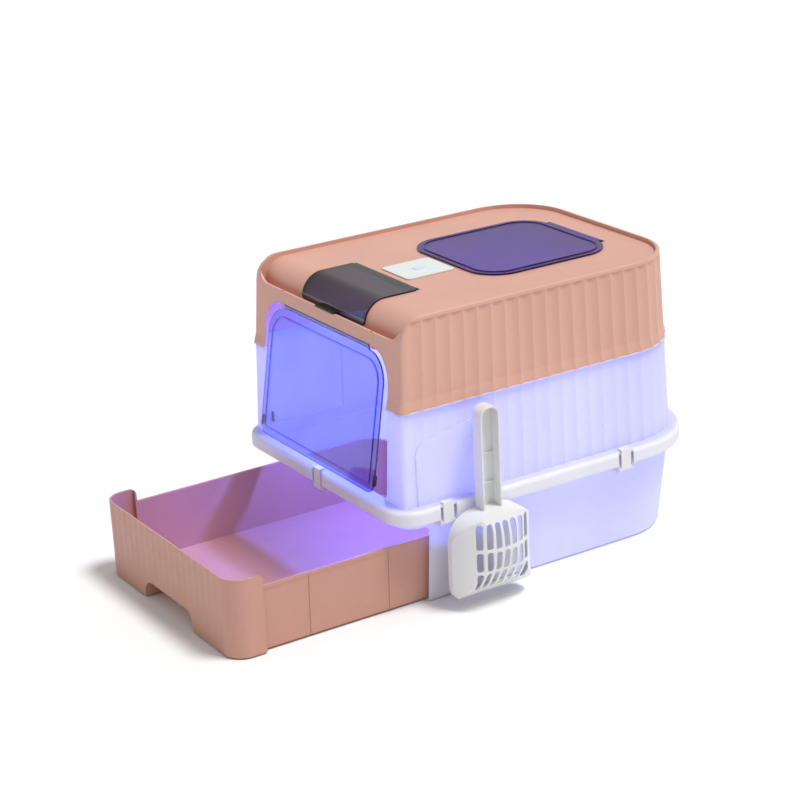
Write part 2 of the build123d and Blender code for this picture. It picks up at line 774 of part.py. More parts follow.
def door_lugs():
    """Ears below the front lip that hold the ends of the door's rod."""
    x0 = DOOR_TAB_HALF + DOOR_LUG_GAP
    x1 = x0 + DOOR_LUG_WIDTH
    radius = DOOR_LUG_RADIUS
    ear = rod_x(radius, x0, x1, DOOR_AXIS_Y, DOOR_AXIS_Z)
    ear += block(x0, x1, DOOR_AXIS_Y - radius, DOOR_AXIS_Y + radius, DOOR_AXIS_Z, GUTTER_Z - 1.0)
    ear -= rod_x(DOOR_ROD_RADIUS + ROD_GAP, x0 - 1.0, x1 - 1.0, DOOR_AXIS_Y, DOOR_AXIS_Z)
    return both_sides(ear)


def make_hood():
    rim_bottom = HOOD_TOP - TOP_RIM_HEIGHT
    flare_top = hood_at(JOINT_Z + FLARE_HEIGHT)
    hood = fluted(at_height(grown(HOOD_LOW, FLARE), JOINT_Z), flare_top)
    hood += fluted(flare_top, hood_at(rim_bottom))
    rim = upright(grown(HOOD_HIGH, FLUTE_RIDGE), rim_bottom, HOOD_TOP)
    rim = fillet(rim.faces().sort_by(Axis.Z)[-1].edges(), TOP_RIM_FILLET)
    hood += rim
    foot_y = -JOINT_DEPTH / 2 - FLARE - FLUTE_RIDGE
    hood = hood & under_curve(HOOD_TOP, CURVE_Y, HOOD_FRONT_CURVE, foot_y, JOINT_Z)
    hood -= hood_cavity()
    hood -= hood_recess()
    hood -= lip_notches()
    hood -= doorway_cut()
    hood += hinge_bosses(WINDOW_OPENING_HALF, WINDOW_AXIS_Y)
    hood += hinge_bosses(LID_TONGUE_HALF + BARREL_GAP, LID_AXIS_Y)
    window_rear = WINDOW_AXIS_Y + WINDOW_BARREL + BARREL_GAP
    half = WINDOW_OPENING_HALF
    seat = GUTTER_Z + WINDOW_SEAT
    hood -= block(-half, half, DECK_FRONT_Y - 1.0, window_rear, seat, HOOD_TOP + 1.0)
    hood -= lid_outline(LID_OVERLAP, DECK_UNDER - 1.0, HOOD_TOP)
    slot_half = LID_TONGUE_HALF + BARREL_GAP
    slot_reach = LID_BARREL + BARREL_GAP
    slot_rear = LID_AXIS_Y + slot_reach + LID_SLOT_REAR
    hood -= block(
        -slot_half, slot_half, LID_AXIS_Y - slot_reach, slot_rear, DECK_UNDER - 1.0, HOOD_TOP
    )
    hood -= rod_bores(WINDOW_OPENING_HALF, WINDOW_AXIS_Y)
    hood -= rod_bores(slot_half, LID_AXIS_Y)
    half_x = LAMP_BODY_HALF_X + LAMP_OPENING_GAP
    half_y = LAMP_BODY_HALF_Y + LAMP_OPENING_GAP
    hood -= lamp_block(half_x, half_y, DECK_UNDER - 1.0, HOOD_TOP)
    hood += door_lugs()
    return hood


# ---- swing door ----
def door_plate(inset, y0, y1):
    """The door's outline, seen from the front, moved in from its edge. It hangs straight
    down from the hinge axis, which is the local origin."""
    half = DOOR_HALF_WIDTH - inset
    plate = block(-half, half, y0, y1, inset - DOOR_LENGTH, -DOOR_TOP_GAP - inset)
    upright_edges = plate.edges().filter_by(Axis.Y).group_by(Axis.Z)
    plate = fillet(upright_edges[-1], DOOR_TOP_RADIUS - inset)
    lower_edges = plate.edges().filter_by(Axis.Y).group_by(Axis.Z)[0]
    return fillet(lower_edges, DOOR_BOTTOM_RADIUS - inset)


def door_frame():
    """The place of the hanging door: at its axis, swung a little outwards."""
    return Pos(0, DOOR_AXIS_Y, DOOR_AXIS_Z) * Rot(-DOOR_AJAR, 0, 0)


def make_entry_door():
    face = -DOOR_FACE_OFFSET
    back = face + DOOR_THICKNESS
    door = door_plate(0.0, face, back)
    tab = DOOR_TAB_HALF
    door += block(-tab, tab, face, back, -DOOR_TOP_GAP - 1.0, 0.0)
    door += rod_x(DOOR_KNUCKLE_RADIUS, -tab, tab, 0.0, 0.0)
    front = face - DOOR_RIDGE_PROUD
    ridge = door_plate(DOOR_RIDGE_INSET, front, face)
    ridge -= door_plate(DOOR_RIDGE_INSET + DOOR_RIDGE_WIDTH, front - 1.0, face + 1.0)
    door += ridge
    door -= rod_x(DOOR_ROD_RADIUS + ROD_GAP, -tab - 1.0, tab + 1.0, 0.0, 0.0)
    return door_frame() * door


def make_door_rod():
    reach = DOOR_TAB_HALF + DOOR_LUG_GAP + DOOR_LUG_WIDTH - DOOR_ROD_SHORT
    return rod_x(DOOR_ROD_RADIUS, -reach, reach, DOOR_AXIS_Y, DOOR_AXIS_Z)


def make_door_magnet():
    """A flat magnet on the door's inner face, low at its right edge."""
    back = DOOR_THICKNESS - DOOR_FACE_OFFSET
    outer = DOOR_HALF_WIDTH - MAGNET_INSET
    inner = outer - MAGNET_WIDTH
    z0 = -MAGNET_DROP - MAGNET_HEIGHT / 2
    magnet = block(inner, outer, back, back + MAGNET_THICKNESS, z0, z0 + MAGNET_HEIGHT)
    return door_frame() * magnet


def make_frame_magnet():
    """The door magnet's mate, on the back of the right jamb."""
    z = DOOR_AXIS_Z - MAGNET_DROP
    share = (z - RIM_TOP) / (JOINT_Z - RIM_TOP)
    jamb = DOORWAY_HALF_LOW + (DOORWAY_HALF_HIGH - DOORWAY_HALF_LOW) * share
    inner_y = WALL - ring_at(z - MAGNET_HEIGHT / 2).depth / 2
    x0 = jamb - FRAME_MAGNET_REACH
    magnet = block(
        x0,
        x0 + MAGNET_WIDTH + FRAME_MAGNET_REACH,
        inner_y - 1.0,
        inner_y + MAGNET_THICKNESS,
        z - MAGNET_HEIGHT / 2,
        z + MAGNET_HEIGHT / 2,
    )
    wall = tapered(RING_LOW, JOINT) - tapered(grown(RING_LOW, -WALL), grown(JOINT, -WALL))
    return magnet - wall


# ---- curved front window ----
def make_front_window():
    """A curved flap over the front curve, with a hinge barrel at its rear edge and a pull
    tab over the lip."""
    lift = FLAP_LIFT + WINDOW_THICKNESS
    sheet = deck_solid(lift) - deck_solid(FLAP_LIFT)
    clear = WINDOW_AXIS_Y - WINDOW_BARREL / 2 - 1.0
    foot = GUTTER_Z + WINDOW_FOOT
    half = WINDOW_HALF
    shape = block(-half, half, -BIG / 2, clear, foot, HOOD_TOP)
    shape = fillet(shape.edges().filter_by(Axis.Y).group_by(Axis.Z)[0], WINDOW_CORNER)
    window = sheet & shape
    inner_half = WINDOW_OPENING_HALF - BARREL_GAP
    tongue = block(-inner_half, inner_half, clear - 1.0, WINDOW_AXIS_Y, foot, HOOD_TOP)
    window += sheet & tongue
    window += rod_x(WINDOW_BARREL, -inner_half, inner_half, WINDOW_AXIS_Y, HINGE_Z)
    tab_z = LIP_TOP + WINDOW_TAB_LIFT
    tab_front = -hood_at(LIP_TOP).depth / 2 - FLUTE_RIDGE - WINDOW_TAB_OVERHANG
    window += rounded_block(
        -WINDOW_TAB_HALF,
        WINDOW_TAB_HALF,
        tab_front,
        DECK_FRONT_Y - FLAP_LIFT,
        tab_z,
        tab_z + WINDOW_THICKNESS,
        0.9,
    )
    window -= rod_x(ROD_RADIUS + ROD_GAP, -half, half, WINDOW_AXIS_Y, HINGE_Z)
    return window


def make_window_rod():
    reach = WINDOW_OPENING_HALF + BOSS_WIDTH - ROD_SHORT
    return rod_x(ROD_RADIUS, -reach, reach, WINDOW_AXIS_Y, HINGE_Z)


# ---- top lid ----
def make_top_lid():
    z0 = DECK_Z + FLAP_LIFT
    z1 = z0 + LID_THICKNESS
    lid = lid_outline(0.0, z0, z1)
    half = LID_TONGUE_HALF
    lid += block(-half, half, LID_REAR_Y - LID_RIDGE_INSET, LID_AXIS_Y, z0, z1)
    lid += rod_x(LID_BARREL, -half, half, LID_AXIS_Y, HINGE_Z)
    ridge = lid_outline(LID_RIDGE_INSET, z1 - 0.5, z1 + LID_RIDGE_PROUD)
    ridge -= lid_outline(LID_RIDGE_INSET + LID_RIDGE_WIDTH, z0, z1 + LID_RIDGE_PROUD + 1.0)
    lid += ridge
    lid -= rod_x(ROD_RADIUS + ROD_GAP, -half - 1.0, half + 1.0, LID_AXIS_Y, HINGE_Z)
    return lid


def make_lid_rod():
    reach = LID_TONGUE_HALF + BARREL_GAP + BOSS_WIDTH - ROD_SHORT
    return rod_x(ROD_RADIUS, -reach, reach, LID_AXIS_Y, HINGE_Z)


# ---- lamp unit ----
LAMP_TOP = DECK_Z + FLAP_LIFT + LAMP_COVER
LAMP_BODY_TOP = DECK_Z + FLAP_LIFT
LAMP_BODY_BOTTOM = LAMP_BODY_TOP - LAMP_BODY_HEIGHT
LAMP_INNER_FLOOR = LAMP_BODY_BOTTOM + LAMP_BODY_WALL
LAMP_BODY_HALF_X = LAMP_WIDTH / 2 - LAMP_BODY_INSET
LAMP_BODY_HALF_Y = LAMP_LENGTH / 2 - LAMP_BODY_INSET
LAMP_BOARD_Z = LAMP_BODY_BOTTOM + LAMP_BOARD_HEIGHT
LAMP_BOARD_TOP = LAMP_BOARD_Z + LAMP_BOARD_THICKNESS
SWITCH_TOP = LAMP_BOARD_TOP + SWITCH_HEIGHT


def lamp_block(half_x, half_y, z0, z1):
    """A box centred on the lamp unit."""
    return block(-half_x, half_x, LAMP_Y - half_y, LAMP_Y + half_y, z0, z1)


def at_posts(make):
    """The same round piece at the lamp unit's four screw posts."""
    pieces = [
        make(sx * LAMP_POST_X, LAMP_Y + sy * LAMP_POST_Y) for sx in (-1, 1) for sy in (-1, 1)
    ]
    result = pieces[0]
    for piece in pieces[1:]:
        result += piece
    return result


def make_lamp_cover():
    half_x = LAMP_WIDTH / 2
    half_y = LAMP_LENGTH / 2
    cover = rounded_block(
        -half_x, half_x, LAMP_Y - half_y, LAMP_Y + half_y, LAMP_BODY_TOP, LAMP_TOP, LAMP_CORNER
    )
    cover += at_posts(lambda x, y: rod_z(LAMP_POST_RADIUS, x, y, LAMP_BOARD_TOP, LAMP_BODY_TOP))
    bore = LAMP_SCREW_RADIUS + LAMP_SCREW_BITE
    cover -= at_posts(lambda x, y: rod_z(bore, x, y, LAMP_BOARD_TOP - 1.0, LAMP_BODY_TOP - 1.0))
    cover -= rod_z(BUTTON_RADIUS + BUTTON_GAP, 0.0, LAMP_Y, LAMP_BODY_TOP - 1.0, LAMP_TOP + 1.0)
    return cover


def make_lamp_housing():
    wall = LAMP_BODY_WALL
    housing = lamp_block(LAMP_BODY_HALF_X, LAMP_BODY_HALF_Y, LAMP_BODY_BOTTOM, LAMP_BODY_TOP)
    housing -= lamp_block(
        LAMP_BODY_HALF_X - wall, LAMP_BODY_HALF_Y - wall, LAMP_INNER_FLOOR, LAMP_BODY_TOP + 1.0
    )
    bore = LAMP_SCREW_RADIUS + LAMP_SCREW_GAP
    post_foot = LAMP_INNER_FLOOR - 0.5
    housing += at_posts(lambda x, y: rod_z(LAMP_POST_RADIUS, x, y, post_foot, LAMP_BOARD_Z))
    housing -= at_posts(lambda x, y: rod_z(bore, x, y, LAMP_BODY_BOTTOM - 1.0, LAMP_BOARD_Z + 1.0))
    housing -= lamp_block(
        LAMP_LENS_WIDTH / 2 - LAMP_LENS_SEAT,
        LAMP_LENS_LENGTH / 2 - LAMP_LENS_SEAT,
        LAMP_BODY_BOTTOM - 1.0,
        LAMP_INNER_FLOOR + 1.0,
    )
    housing -= socket_block()
    return housing


def socket_block():
    """The charging socket in the unit's rear wall, on the board."""
    width, depth, height = SOCKET_SIZE
    rear = LAMP_Y + LAMP_BODY_HALF_Y
    top = LAMP_BOARD_TOP + height
    return block(-width / 2, width / 2, rear - depth, rear, LAMP_BOARD_TOP, top)


def make_lamp_lens():
    top = LAMP_INNER_FLOOR + LAMP_LENS_THICKNESS
    return lamp_block(LAMP_LENS_WIDTH / 2, LAMP_LENS_LENGTH / 2, LAMP_INNER_FLOOR, top)


def make_lamp_board():
    half_x = LAMP_POST_X + LAMP_BOARD_MARGIN
    half_y = LAMP_POST_Y + LAMP_BOARD_MARGIN
    bore = LAMP_SCREW_RADIUS + LAMP_SCREW_GAP
    board = lamp_block(half_x, half_y, LAMP_BOARD_Z, LAMP_BOARD_TOP)
    return board - at_posts(lambda x, y: rod_z(bore, x, y, LAMP_BOARD_Z - 1.0, LAMP_BOARD_TOP + 1.0))


def make_lamp_leds():
    """A grid of emitters on the board's underside."""
    half = LAMP_LED_SIZE / 2
    bottom = LAMP_BOARD_Z - LAMP_LED_HEIGHT
    leds = []
    for column in range(LAMP_LED_COLUMNS):
        for row in range(LAMP_LED_ROWS):
            x = (column - (LAMP_LED_COLUMNS - 1) / 2) * LAMP_LED_PITCH
            y = LAMP_Y + (row - (LAMP_LED_ROWS - 1) / 2) * LAMP_LED_PITCH
            leds.append(block(x - half, x + half, y - half, y + half, bottom, LAMP_BOARD_Z))
    return Compound(children=leds)


def make_lamp_battery():
    width, length, height = LAMP_BATTERY_SIZE
    y0 = LAMP_Y + LAMP_BATTERY_Y - length / 2
    top = LAMP_BOARD_TOP + height
    return rounded_block(
        -width / 2, width / 2, y0, y0 + length, LAMP_BOARD_TOP, top, LAMP_BATTERY_ROUND
    )


def make_lamp_switch():
    half = SWITCH_SIZE / 2
    return lamp_block(half, half, LAMP_BOARD_TOP, SWITCH_TOP)


def make_lamp_button():
    """A round key: its cap in the cover, a flange below it and a stem to the switch."""
    flange_top = LAMP_BODY_TOP - BUTTON_GAP
    button = rod_z(BUTTON_RADIUS, 0.0, LAMP_Y, flange_top - 0.5, LAMP_TOP + BUTTON_PROUD)
    button = fillet(button.faces().sort_by(Axis.Z)[-1].edges(), BUTTON_ROUND)
    flange_bottom = flange_top - BUTTON_FLANGE
    button += rod_z(BUTTON_RADIUS + BUTTON_FLANGE, 0.0, LAMP_Y, flange_bottom, flange_top)
    stem_foot = SWITCH_TOP + BUTTON_TRAVEL + BUTTON_GAP / 2
    button += rod_z(BUTTON_STEM_RADIUS, 0.0, LAMP_Y, stem_foot, flange_top - 1.0)
    return button


def make_lamp_screws():
    screws = []
    for sx in (-1, 1):
        for sy in (-1, 1):
            x = sx * LAMP_POST_X
            y = LAMP_Y + sy * LAMP_POST_Y
            head_bottom = LAMP_BODY_BOTTOM - LAMP_SCREW_HEAD_HEIGHT
            screw = rod_z(LAMP_SCREW_HEAD, x, y, head_bottom, LAMP_BODY_BOTTOM)
            screw += rod_z(LAMP_SCREW_RADIUS, x, y, LAMP_BODY_BOTTOM - 0.5, LAMP_BODY_TOP - 2.0)
            screws.append(screw)
    return Compound(children=screws)


# ---- litter drawer ----
DRAWER_BOTTOM = TUB_INNER_FLOOR + DRAWER_FLOOR_GAP
DRAWER_LENGTH = BASE_DEPTH - DRAWER_TO_BACK
DRAWER_PANEL_WIDTH = BASE_WIDTH
DRAWER_TRAY_WIDTH = BASE_WIDTH - 2 * DRAWER_TRAY_INSET
DRAWER_PANEL_FRONT = DRAWER_PANEL_SETBACK - RIM_DEPTH / 2
DRAWER_PANEL_TOP = DRAWER_PANEL_BOTTOM + DRAWER_PANEL_HEIGHT
DRAWER_REAR = DRAWER_PANEL_FRONT + DRAWER_LENGTH
DRAWER_MIDDLE = (DRAWER_PANEL_FRONT + DRAWER_REAR) / 2
DRAWER_INNER_FLOOR = DRAWER_BOTTOM + DRAWER_FLOOR


def drawer_section(width, shrink, z):
    return Section(
        width - 2 * shrink,
        DRAWER_LENGTH - 2 * shrink,
        DRAWER_REAR_RADIUS - shrink,
        DRAWER_FRONT_RADIUS - shrink,
        z,
    )


def drawer_solid(width, taper, shrink, z0, z1, z_low, z_high):
    """A tapered drawer shape from z0 to z1. The width is at z_high, and it narrows by taper
    at each side down to z_low."""
    low = drawer_section(width - 2 * taper, shrink, z_low)
    high = drawer_section(width, shrink, z_high)
    return Pos(0, DRAWER_MIDDLE, 0) * tapered(between(low, high, z0), between(low, high, z1))


def tray_solid(shrink, z0, z1):
    return drawer_solid(
        DRAWER_TRAY_WIDTH, DRAWER_TRAY_TAPER, shrink, z0, z1, DRAWER_BOTTOM, DRAWER_TRAY_TOP
    )


def panel_solid(shrink, z0, z1):
    return drawer_solid(
        DRAWER_PANEL_WIDTH, DRAWER_PANEL_DRAFT, shrink, z0, z1, DRAWER_PANEL_BOTTOM, DRAWER_PANEL_TOP
    )


def panel_flutes():
    """Cutters for the panel's faint upright flutes."""
    span = DRAWER_PANEL_WIDTH - 2 * DRAWER_FRONT_RADIUS
    pitch = span / DRAWER_FLUTES
    half = pitch / 2
    radius = (half * half + DRAWER_FLUTE_DEPTH**2) / (2 * DRAWER_FLUTE_DEPTH)
    axis_y = DRAWER_PANEL_FRONT - radius + DRAWER_FLUTE_DEPTH
    cutters = []
    for i in range(DRAWER_FLUTES):
        x = -span / 2 + (i + 0.5) * pitch
        cutters.append(rod_z(radius, x, axis_y, 0.0, DRAWER_PANEL_TOP + 1.0))
    return cutters


def side_grooves():
    """Cutters for the upright moulding lines on the drawer's sides."""
    inner = tray_solid(DRAWER_GROOVE_DEPTH, DRAWER_BOTTOM - 1.0, DRAWER_TRAY_TOP + 1.0)
    top = DRAWER_TRAY_TOP - DRAWER_TRAY_RIM_HEIGHT
    half = DRAWER_GROOVE_WIDTH / 2
    cutters = []
    for distance in DRAWER_GROOVES:
        y = DRAWER_PANEL_FRONT + distance
        cutters.append(block(-BIG / 2, BIG / 2, y - half, y + half, DRAWER_BOTTOM - 1.0, top) - inner)
    return cutters


def make_drawer():
    """The tray and its front panel, which is taller and wraps round the front corners."""
    return_end = DRAWER_PANEL_FRONT + DRAWER_RETURN
    drawer = tray_solid(0.0, DRAWER_BOTTOM, DRAWER_TRAY_TOP)
    rim_bottom = DRAWER_TRAY_TOP - DRAWER_TRAY_RIM_HEIGHT
    drawer += tray_solid(-DRAWER_TRAY_RIM, rim_bottom, DRAWER_TRAY_TOP)
    front = block(-BIG / 2, BIG / 2, -BIG, return_end, -1.0, DRAWER_PANEL_TOP)
    rear_edges = front.edges().filter_by(Axis.X).group_by(Axis.Y)[-1]
    front = fillet(rear_edges.sort_by(Axis.Z)[-1], DRAWER_RETURN_ROUND)
    drawer += panel_solid(0.0, DRAWER_PANEL_BOTTOM, DRAWER_PANEL_TOP) & front
    step = block(-BIG / 2, BIG / 2, -BIG, return_end - DRAWER_WALL, -1.0, BIG / 2)
    drawer -= tray_solid(DRAWER_WALL, DRAWER_INNER_FLOOR, DRAWER_PANEL_TOP + 1.0)
    drawer -= panel_solid(DRAWER_PANEL_WALL, DRAWER_INNER_FLOOR, DRAWER_PANEL_TOP + 1.0) & step
    for cutter in panel_flutes() + side_grooves():
        drawer -= cutter
    grip_back = DRAWER_PANEL_FRONT + DRAWER_GRIP_DEPTH
    skin = DRAWER_PANEL_WALL
    drawer += arch(
        DRAWER_GRIP_HALF + skin,
        DRAWER_GRIP_TOP + skin,
        DRAWER_GRIP_RADIUS + skin,
        DRAWER_PANEL_BOTTOM,
        DRAWER_PANEL_FRONT + skin / 2,
        grip_back + skin,
    )
    drawer -= arch(
        DRAWER_GRIP_HALF, DRAWER_GRIP_TOP, DRAWER_GRIP_RADIUS, -1.0, DRAWER_PANEL_FRONT - 1.0, grip_back
    )
    return Pos(0, -DRAWER_OUT, 0) * drawer


# ---- rim latches ----
def rim_latch():
    """A flip latch, drawn at the bead's outer face with +X outwards: a barrel with two stub
    pins, a plate in the bead's notch and a hook over the bead's top."""
    out = -LATCH_PLATE_INSET
    half = LATCH_HALF_WIDTH
    axis_x = -LATCH_AXIS_INSET
    barrel = LATCH_BARREL_HALF
    pin = LATCH_LUG_OUTER
    hook_bottom = RIM_TOP + LATCH_SIDE_GAP
    hook_top = hook_bottom + LATCH_HOOK_HEIGHT
    latch = rod_y(LATCH_BARREL_RADIUS, axis_x, -barrel, barrel, LATCH_AXIS_Z)
    latch += block(out - LATCH_PLATE, out, -half, half, LATCH_AXIS_Z, hook_top)
    latch += block(out - LATCH_HOOK_REACH, out, -half, half, hook_bottom, hook_top)
    latch += rod_y(LATCH_PIN_RADIUS, axis_x, -pin, pin, LATCH_AXIS_Z)
    return latch


# ---- scoop and hook ----
SCOOP_Y = PAD_FRONT_Y + SCOOP_FROM_PAD
SCOOP_BACK_X = RIM_WIDTH / 2 + SCOOP_STANDOFF


def yz_plate(x0, x1, half, z0, z1, top_radius, bottom_radius):
    """A plate across X at the scoop's middle, with rounded corners seen from the side."""
    plate = block(x0, x1, SCOOP_Y - half, SCOOP_Y + half, z0, z1)
    edges = plate.edges().filter_by(Axis.X).group_by(Axis.Z)
    plate = fillet(edges[-1], top_radius)
    if bottom_radius:
        lower = plate.edges().filter_by(Axis.X).group_by(Axis.Z)[0]
        plate = fillet(lower, bottom_radius)
    return plate


def scoop_form(inset, back_x):
    """The pan's bulging shape, moved in from its surface and open towards back_x: rounded
    seen from the side, arched from top to bottom and crowned from edge to edge."""
    half = SCOOP_PAN_WIDTH / 2 - inset
    z0 = SCOOP_PAN_BOTTOM + inset
    z1 = SCOOP_PAN_TOP - inset
    bulge_x = SCOOP_BACK_X + SCOOP_PAN_BULGE - inset
    shoulder_x = SCOOP_BACK_X + SCOOP_SHOULDER - inset
    plate = yz_plate(
        back_x, bulge_x, half, z0, z1, SCOOP_TOP_RADIUS - inset, SCOOP_BOTTOM_RADIUS - inset
    )
    profile = Wire(
        [
            Edge.make_line((back_x, 0, z0), (back_x, 0, z1)),
            Edge.make_line((back_x, 0, z1), (shoulder_x, 0, z1)),
            Edge.make_three_point_arc(
                (shoulder_x, 0, z1), (bulge_x, 0, SCOOP_BULGE_Z), (SCOOP_BACK_X + 1.0, 0, z0)
            ),
            Edge.make_line((SCOOP_BACK_X + 1.0, 0, z0), (back_x, 0, z0)),
        ]
    )
    barrel = Pos(0, SCOOP_Y - BIG / 2, 0) * Solid.extrude(Face(profile), Vector(0, BIG, 0))
    radius = SCOOP_CROWN - inset
    crown = rod_z(radius, bulge_x - radius, SCOOP_Y, z0 - 1.0, z1 + 1.0)
    return plate & barrel & crown


def scoop_slots():
    """Rounded slots through the pan's outer face."""
    x0 = SCOOP_BACK_X + SCOOP_PAN_BULGE - SCOOP_SLOT_DEPTH
    x1 = SCOOP_BACK_X + SCOOP_PAN_BULGE + 1.0
    half = SCOOP_SLOT_WIDTH / 2
    slots = []
    first = -(SCOOP_SLOT_COLUMNS - 1) / 2 * SCOOP_SLOT_PITCH
    for column in range(SCOOP_SLOT_COLUMNS):
        y = SCOOP_Y + first + column * SCOOP_SLOT_PITCH
        for z0, z1 in SCOOP_SLOT_ROWS:
            slot = block(x0, x1, y - half, y + half, z0, z1)
            slots.append(fillet(slot.edges().filter_by(Axis.X), half - 0.05))
    return slots


def scoop_handle():
    x0 = SCOOP_BACK_X
    x1 = x0 + HANDLE_DEPTH
    half = HANDLE_WIDTH / 2
    wall = HANDLE_WALL
    foot = SCOOP_PAN_TOP - HANDLE_OVERLAP
    handle = yz_plate(x0, x1, half, foot, HANDLE_TOP, HANDLE_ROUND, 0.0)
    handle -= yz_plate(
        x0 + wall, x1 + 1.0, half - wall, SCOOP_PAN_TOP, HANDLE_TOP - wall, HANDLE_ROUND - wall, 0.0
    )
    rib = HANDLE_RIB_THICKNESS / 2
    rib_half = half - wall / 2
    for z in HANDLE_RIBS:
        handle += block(
            x0 + 1.0, x0 + wall + HANDLE_RIB_HEIGHT, SCOOP_Y - rib_half, SCOOP_Y + rib_half, z - rib, z + rib
        )
    return handle


def scoop_loop():
    """The loop behind the handle that drops over the hook's tongue."""
    y = SCOOP_Y + LOOP_SHIFT
    half = LOOP_HALF
    inner = half - LOOP_WALL
    back = SCOOP_BACK_X
    z0 = LOOP_BOTTOM
    z1 = LOOP_BOTTOM + LOOP_HEIGHT
    loop = block(back - LOOP_REACH, back + 1.0, y - half, y + half, z0, z1)
    return loop - block(
        back - LOOP_REACH + LOOP_WALL, back, y - inner, y + inner, z0 - 1.0, z1 + 1.0
    )


def make_scoop():
    outer = scoop_form(0.0, SCOOP_BACK_X)
    scoop = outer - scoop_form(SCOOP_WALL, SCOOP_BACK_X - 1.0)
    scoop += scoop_handle() - scoop_form(SCOOP_WALL, SCOOP_BACK_X - 1.0)
    for slot in scoop_slots():
        scoop -= slot
    return scoop + scoop_loop()


def make_scoop_hook():
    """A bracket on the ring's right pad: base, arm and an upright tongue inside the loop."""
    y = SCOOP_Y + LOOP_SHIFT
    half = HOOK_WIDTH / 2
    arm_top = LOOP_BOTTOM - FIT_GAP
    arm_bottom = arm_top - HOOK_ARM
    wall_x = ring_at(arm_bottom).width / 2
    tongue_out = SCOOP_BACK_X - HOOK_TONGUE_GAP
    base_y0 = SCOOP_Y + HOOK_BASE_SHIFT - HOOK_BASE_WIDTH / 2
    base_out = wall_x + FLUTE_RIDGE + PAD_PROUD + HOOK_BASE_THICKNESS
    base_top = arm_bottom + HOOK_BASE_RISE
    hook = block(
        wall_x - WALL, base_out, base_y0, base_y0 + HOOK_BASE_WIDTH, base_top - HOOK_BASE_HEIGHT, base_top
    )
    hook = fillet(hook.edges().filter_by(Axis.X), HOOK_BASE_ROUND)
    hook += block(wall_x, tongue_out, y - half, y + half, arm_bottom, arm_top)
    hook += block(
        tongue_out - HOOK_TONGUE, tongue_out, y - half, y + half, arm_bottom, arm_top + HOOK_TONGUE_HEIGHT
    )
    reach = FLUTE_RIDGE + PAD_PROUD
    return hook - tapered(grown(RING_LOW, reach), grown(JOINT, reach))


# ---- every piece in its own file ----
save("base_tub", make_base_tub())
save("middle_ring", make_middle_ring())
save("hood", make_hood())
save("entry_door", make_entry_door())
save("door_hinge_rod", make_door_rod())
for side, turn in (("right", False), ("left", True)):
    door_magnet = make_door_magnet()
    frame_magnet = make_frame_magnet()
    save(f"door_magnet_{side}", mirror(door_magnet, Plane.YZ) if turn else door_magnet)
    save(f"frame_magnet_{side}", mirror(frame_magnet, Plane.YZ) if turn else frame_magnet)
save("front_window", make_front_window())
save("window_hinge_rod", make_window_rod())
save("top_lid", make_top_lid())
save("lid_hinge_rod", make_lid_rod())
save("lamp_cover", make_lamp_cover())
save("lamp_housing", make_lamp_housing())
save("lamp_lens", make_lamp_lens())
save("lamp_board", make_lamp_board())
save("lamp_leds", make_lamp_leds())
save("lamp_battery", make_lamp_battery())
save("lamp_switch", make_lamp_switch())
save("lamp_charge_socket", socket_block())
save("lamp_button", make_lamp_button())
save("lamp_screws", make_lamp_screws())
save("drawer", make_drawer())
for latch_name, latch_place in latch_places():
    save(latch_name, latch_place * rim_latch())
save("scoop", make_scoop())
save("scoop_hook", make_scoop_hook())
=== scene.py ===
import math

import bmesh
import bpy
from bpy.props import FloatProperty, FloatVectorProperty, PointerProperty
from bpy.types import Operator, Panel, PropertyGroup
from mathutils import Matrix, Vector


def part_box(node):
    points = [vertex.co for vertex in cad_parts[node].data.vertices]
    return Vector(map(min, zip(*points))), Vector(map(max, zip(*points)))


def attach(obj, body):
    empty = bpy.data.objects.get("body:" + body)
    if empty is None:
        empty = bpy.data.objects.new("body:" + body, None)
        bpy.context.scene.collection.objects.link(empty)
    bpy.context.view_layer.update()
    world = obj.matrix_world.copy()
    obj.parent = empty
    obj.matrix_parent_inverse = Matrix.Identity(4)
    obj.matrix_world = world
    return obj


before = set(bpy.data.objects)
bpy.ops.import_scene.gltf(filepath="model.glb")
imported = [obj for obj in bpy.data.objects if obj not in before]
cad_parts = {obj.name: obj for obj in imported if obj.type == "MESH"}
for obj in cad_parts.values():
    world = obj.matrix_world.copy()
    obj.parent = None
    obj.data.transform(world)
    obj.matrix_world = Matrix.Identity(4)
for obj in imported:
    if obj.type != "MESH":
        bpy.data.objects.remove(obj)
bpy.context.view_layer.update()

bl_info = {
    "name": "Drawer Litter Box Dressing",
    "version": (1, 0, 0),
    "blender": (4, 5, 0),
    "location": "View3D > Sidebar > Litter Box",
    "description": "Finishes, small trims, lamp glow and a studio stage for a drawer litter box",
    "category": "Object",
}

# ---- fixed values; sizes are in metres ----
PLASTIC_IOR = 1.49
GRAIN_DEPTH = 0.00012  # height of the spark-eroded grain on mouldings
CREASE_DEPTH = 0.0006  # height of the creases in the cell's foil
SMALL_EDGE = 0.0004  # rounding of small pieces' edges in the shading
FINE_EDGE = 0.0002  # the same for the smallest pieces
BEVEL_SAMPLES = 4
BEAD_HEIGHT = 0.021  # the thick rim bead's top above the ring's lower edge
BEAD_FADE = 0.002  # height over which the bead's wall thins to the ring's
BEAD_SHARE = 0.3  # share of the ring's light that still passes the bead
TUB_SHARE = 0.8  # share of the ring's light that passes the tub's thicker wall

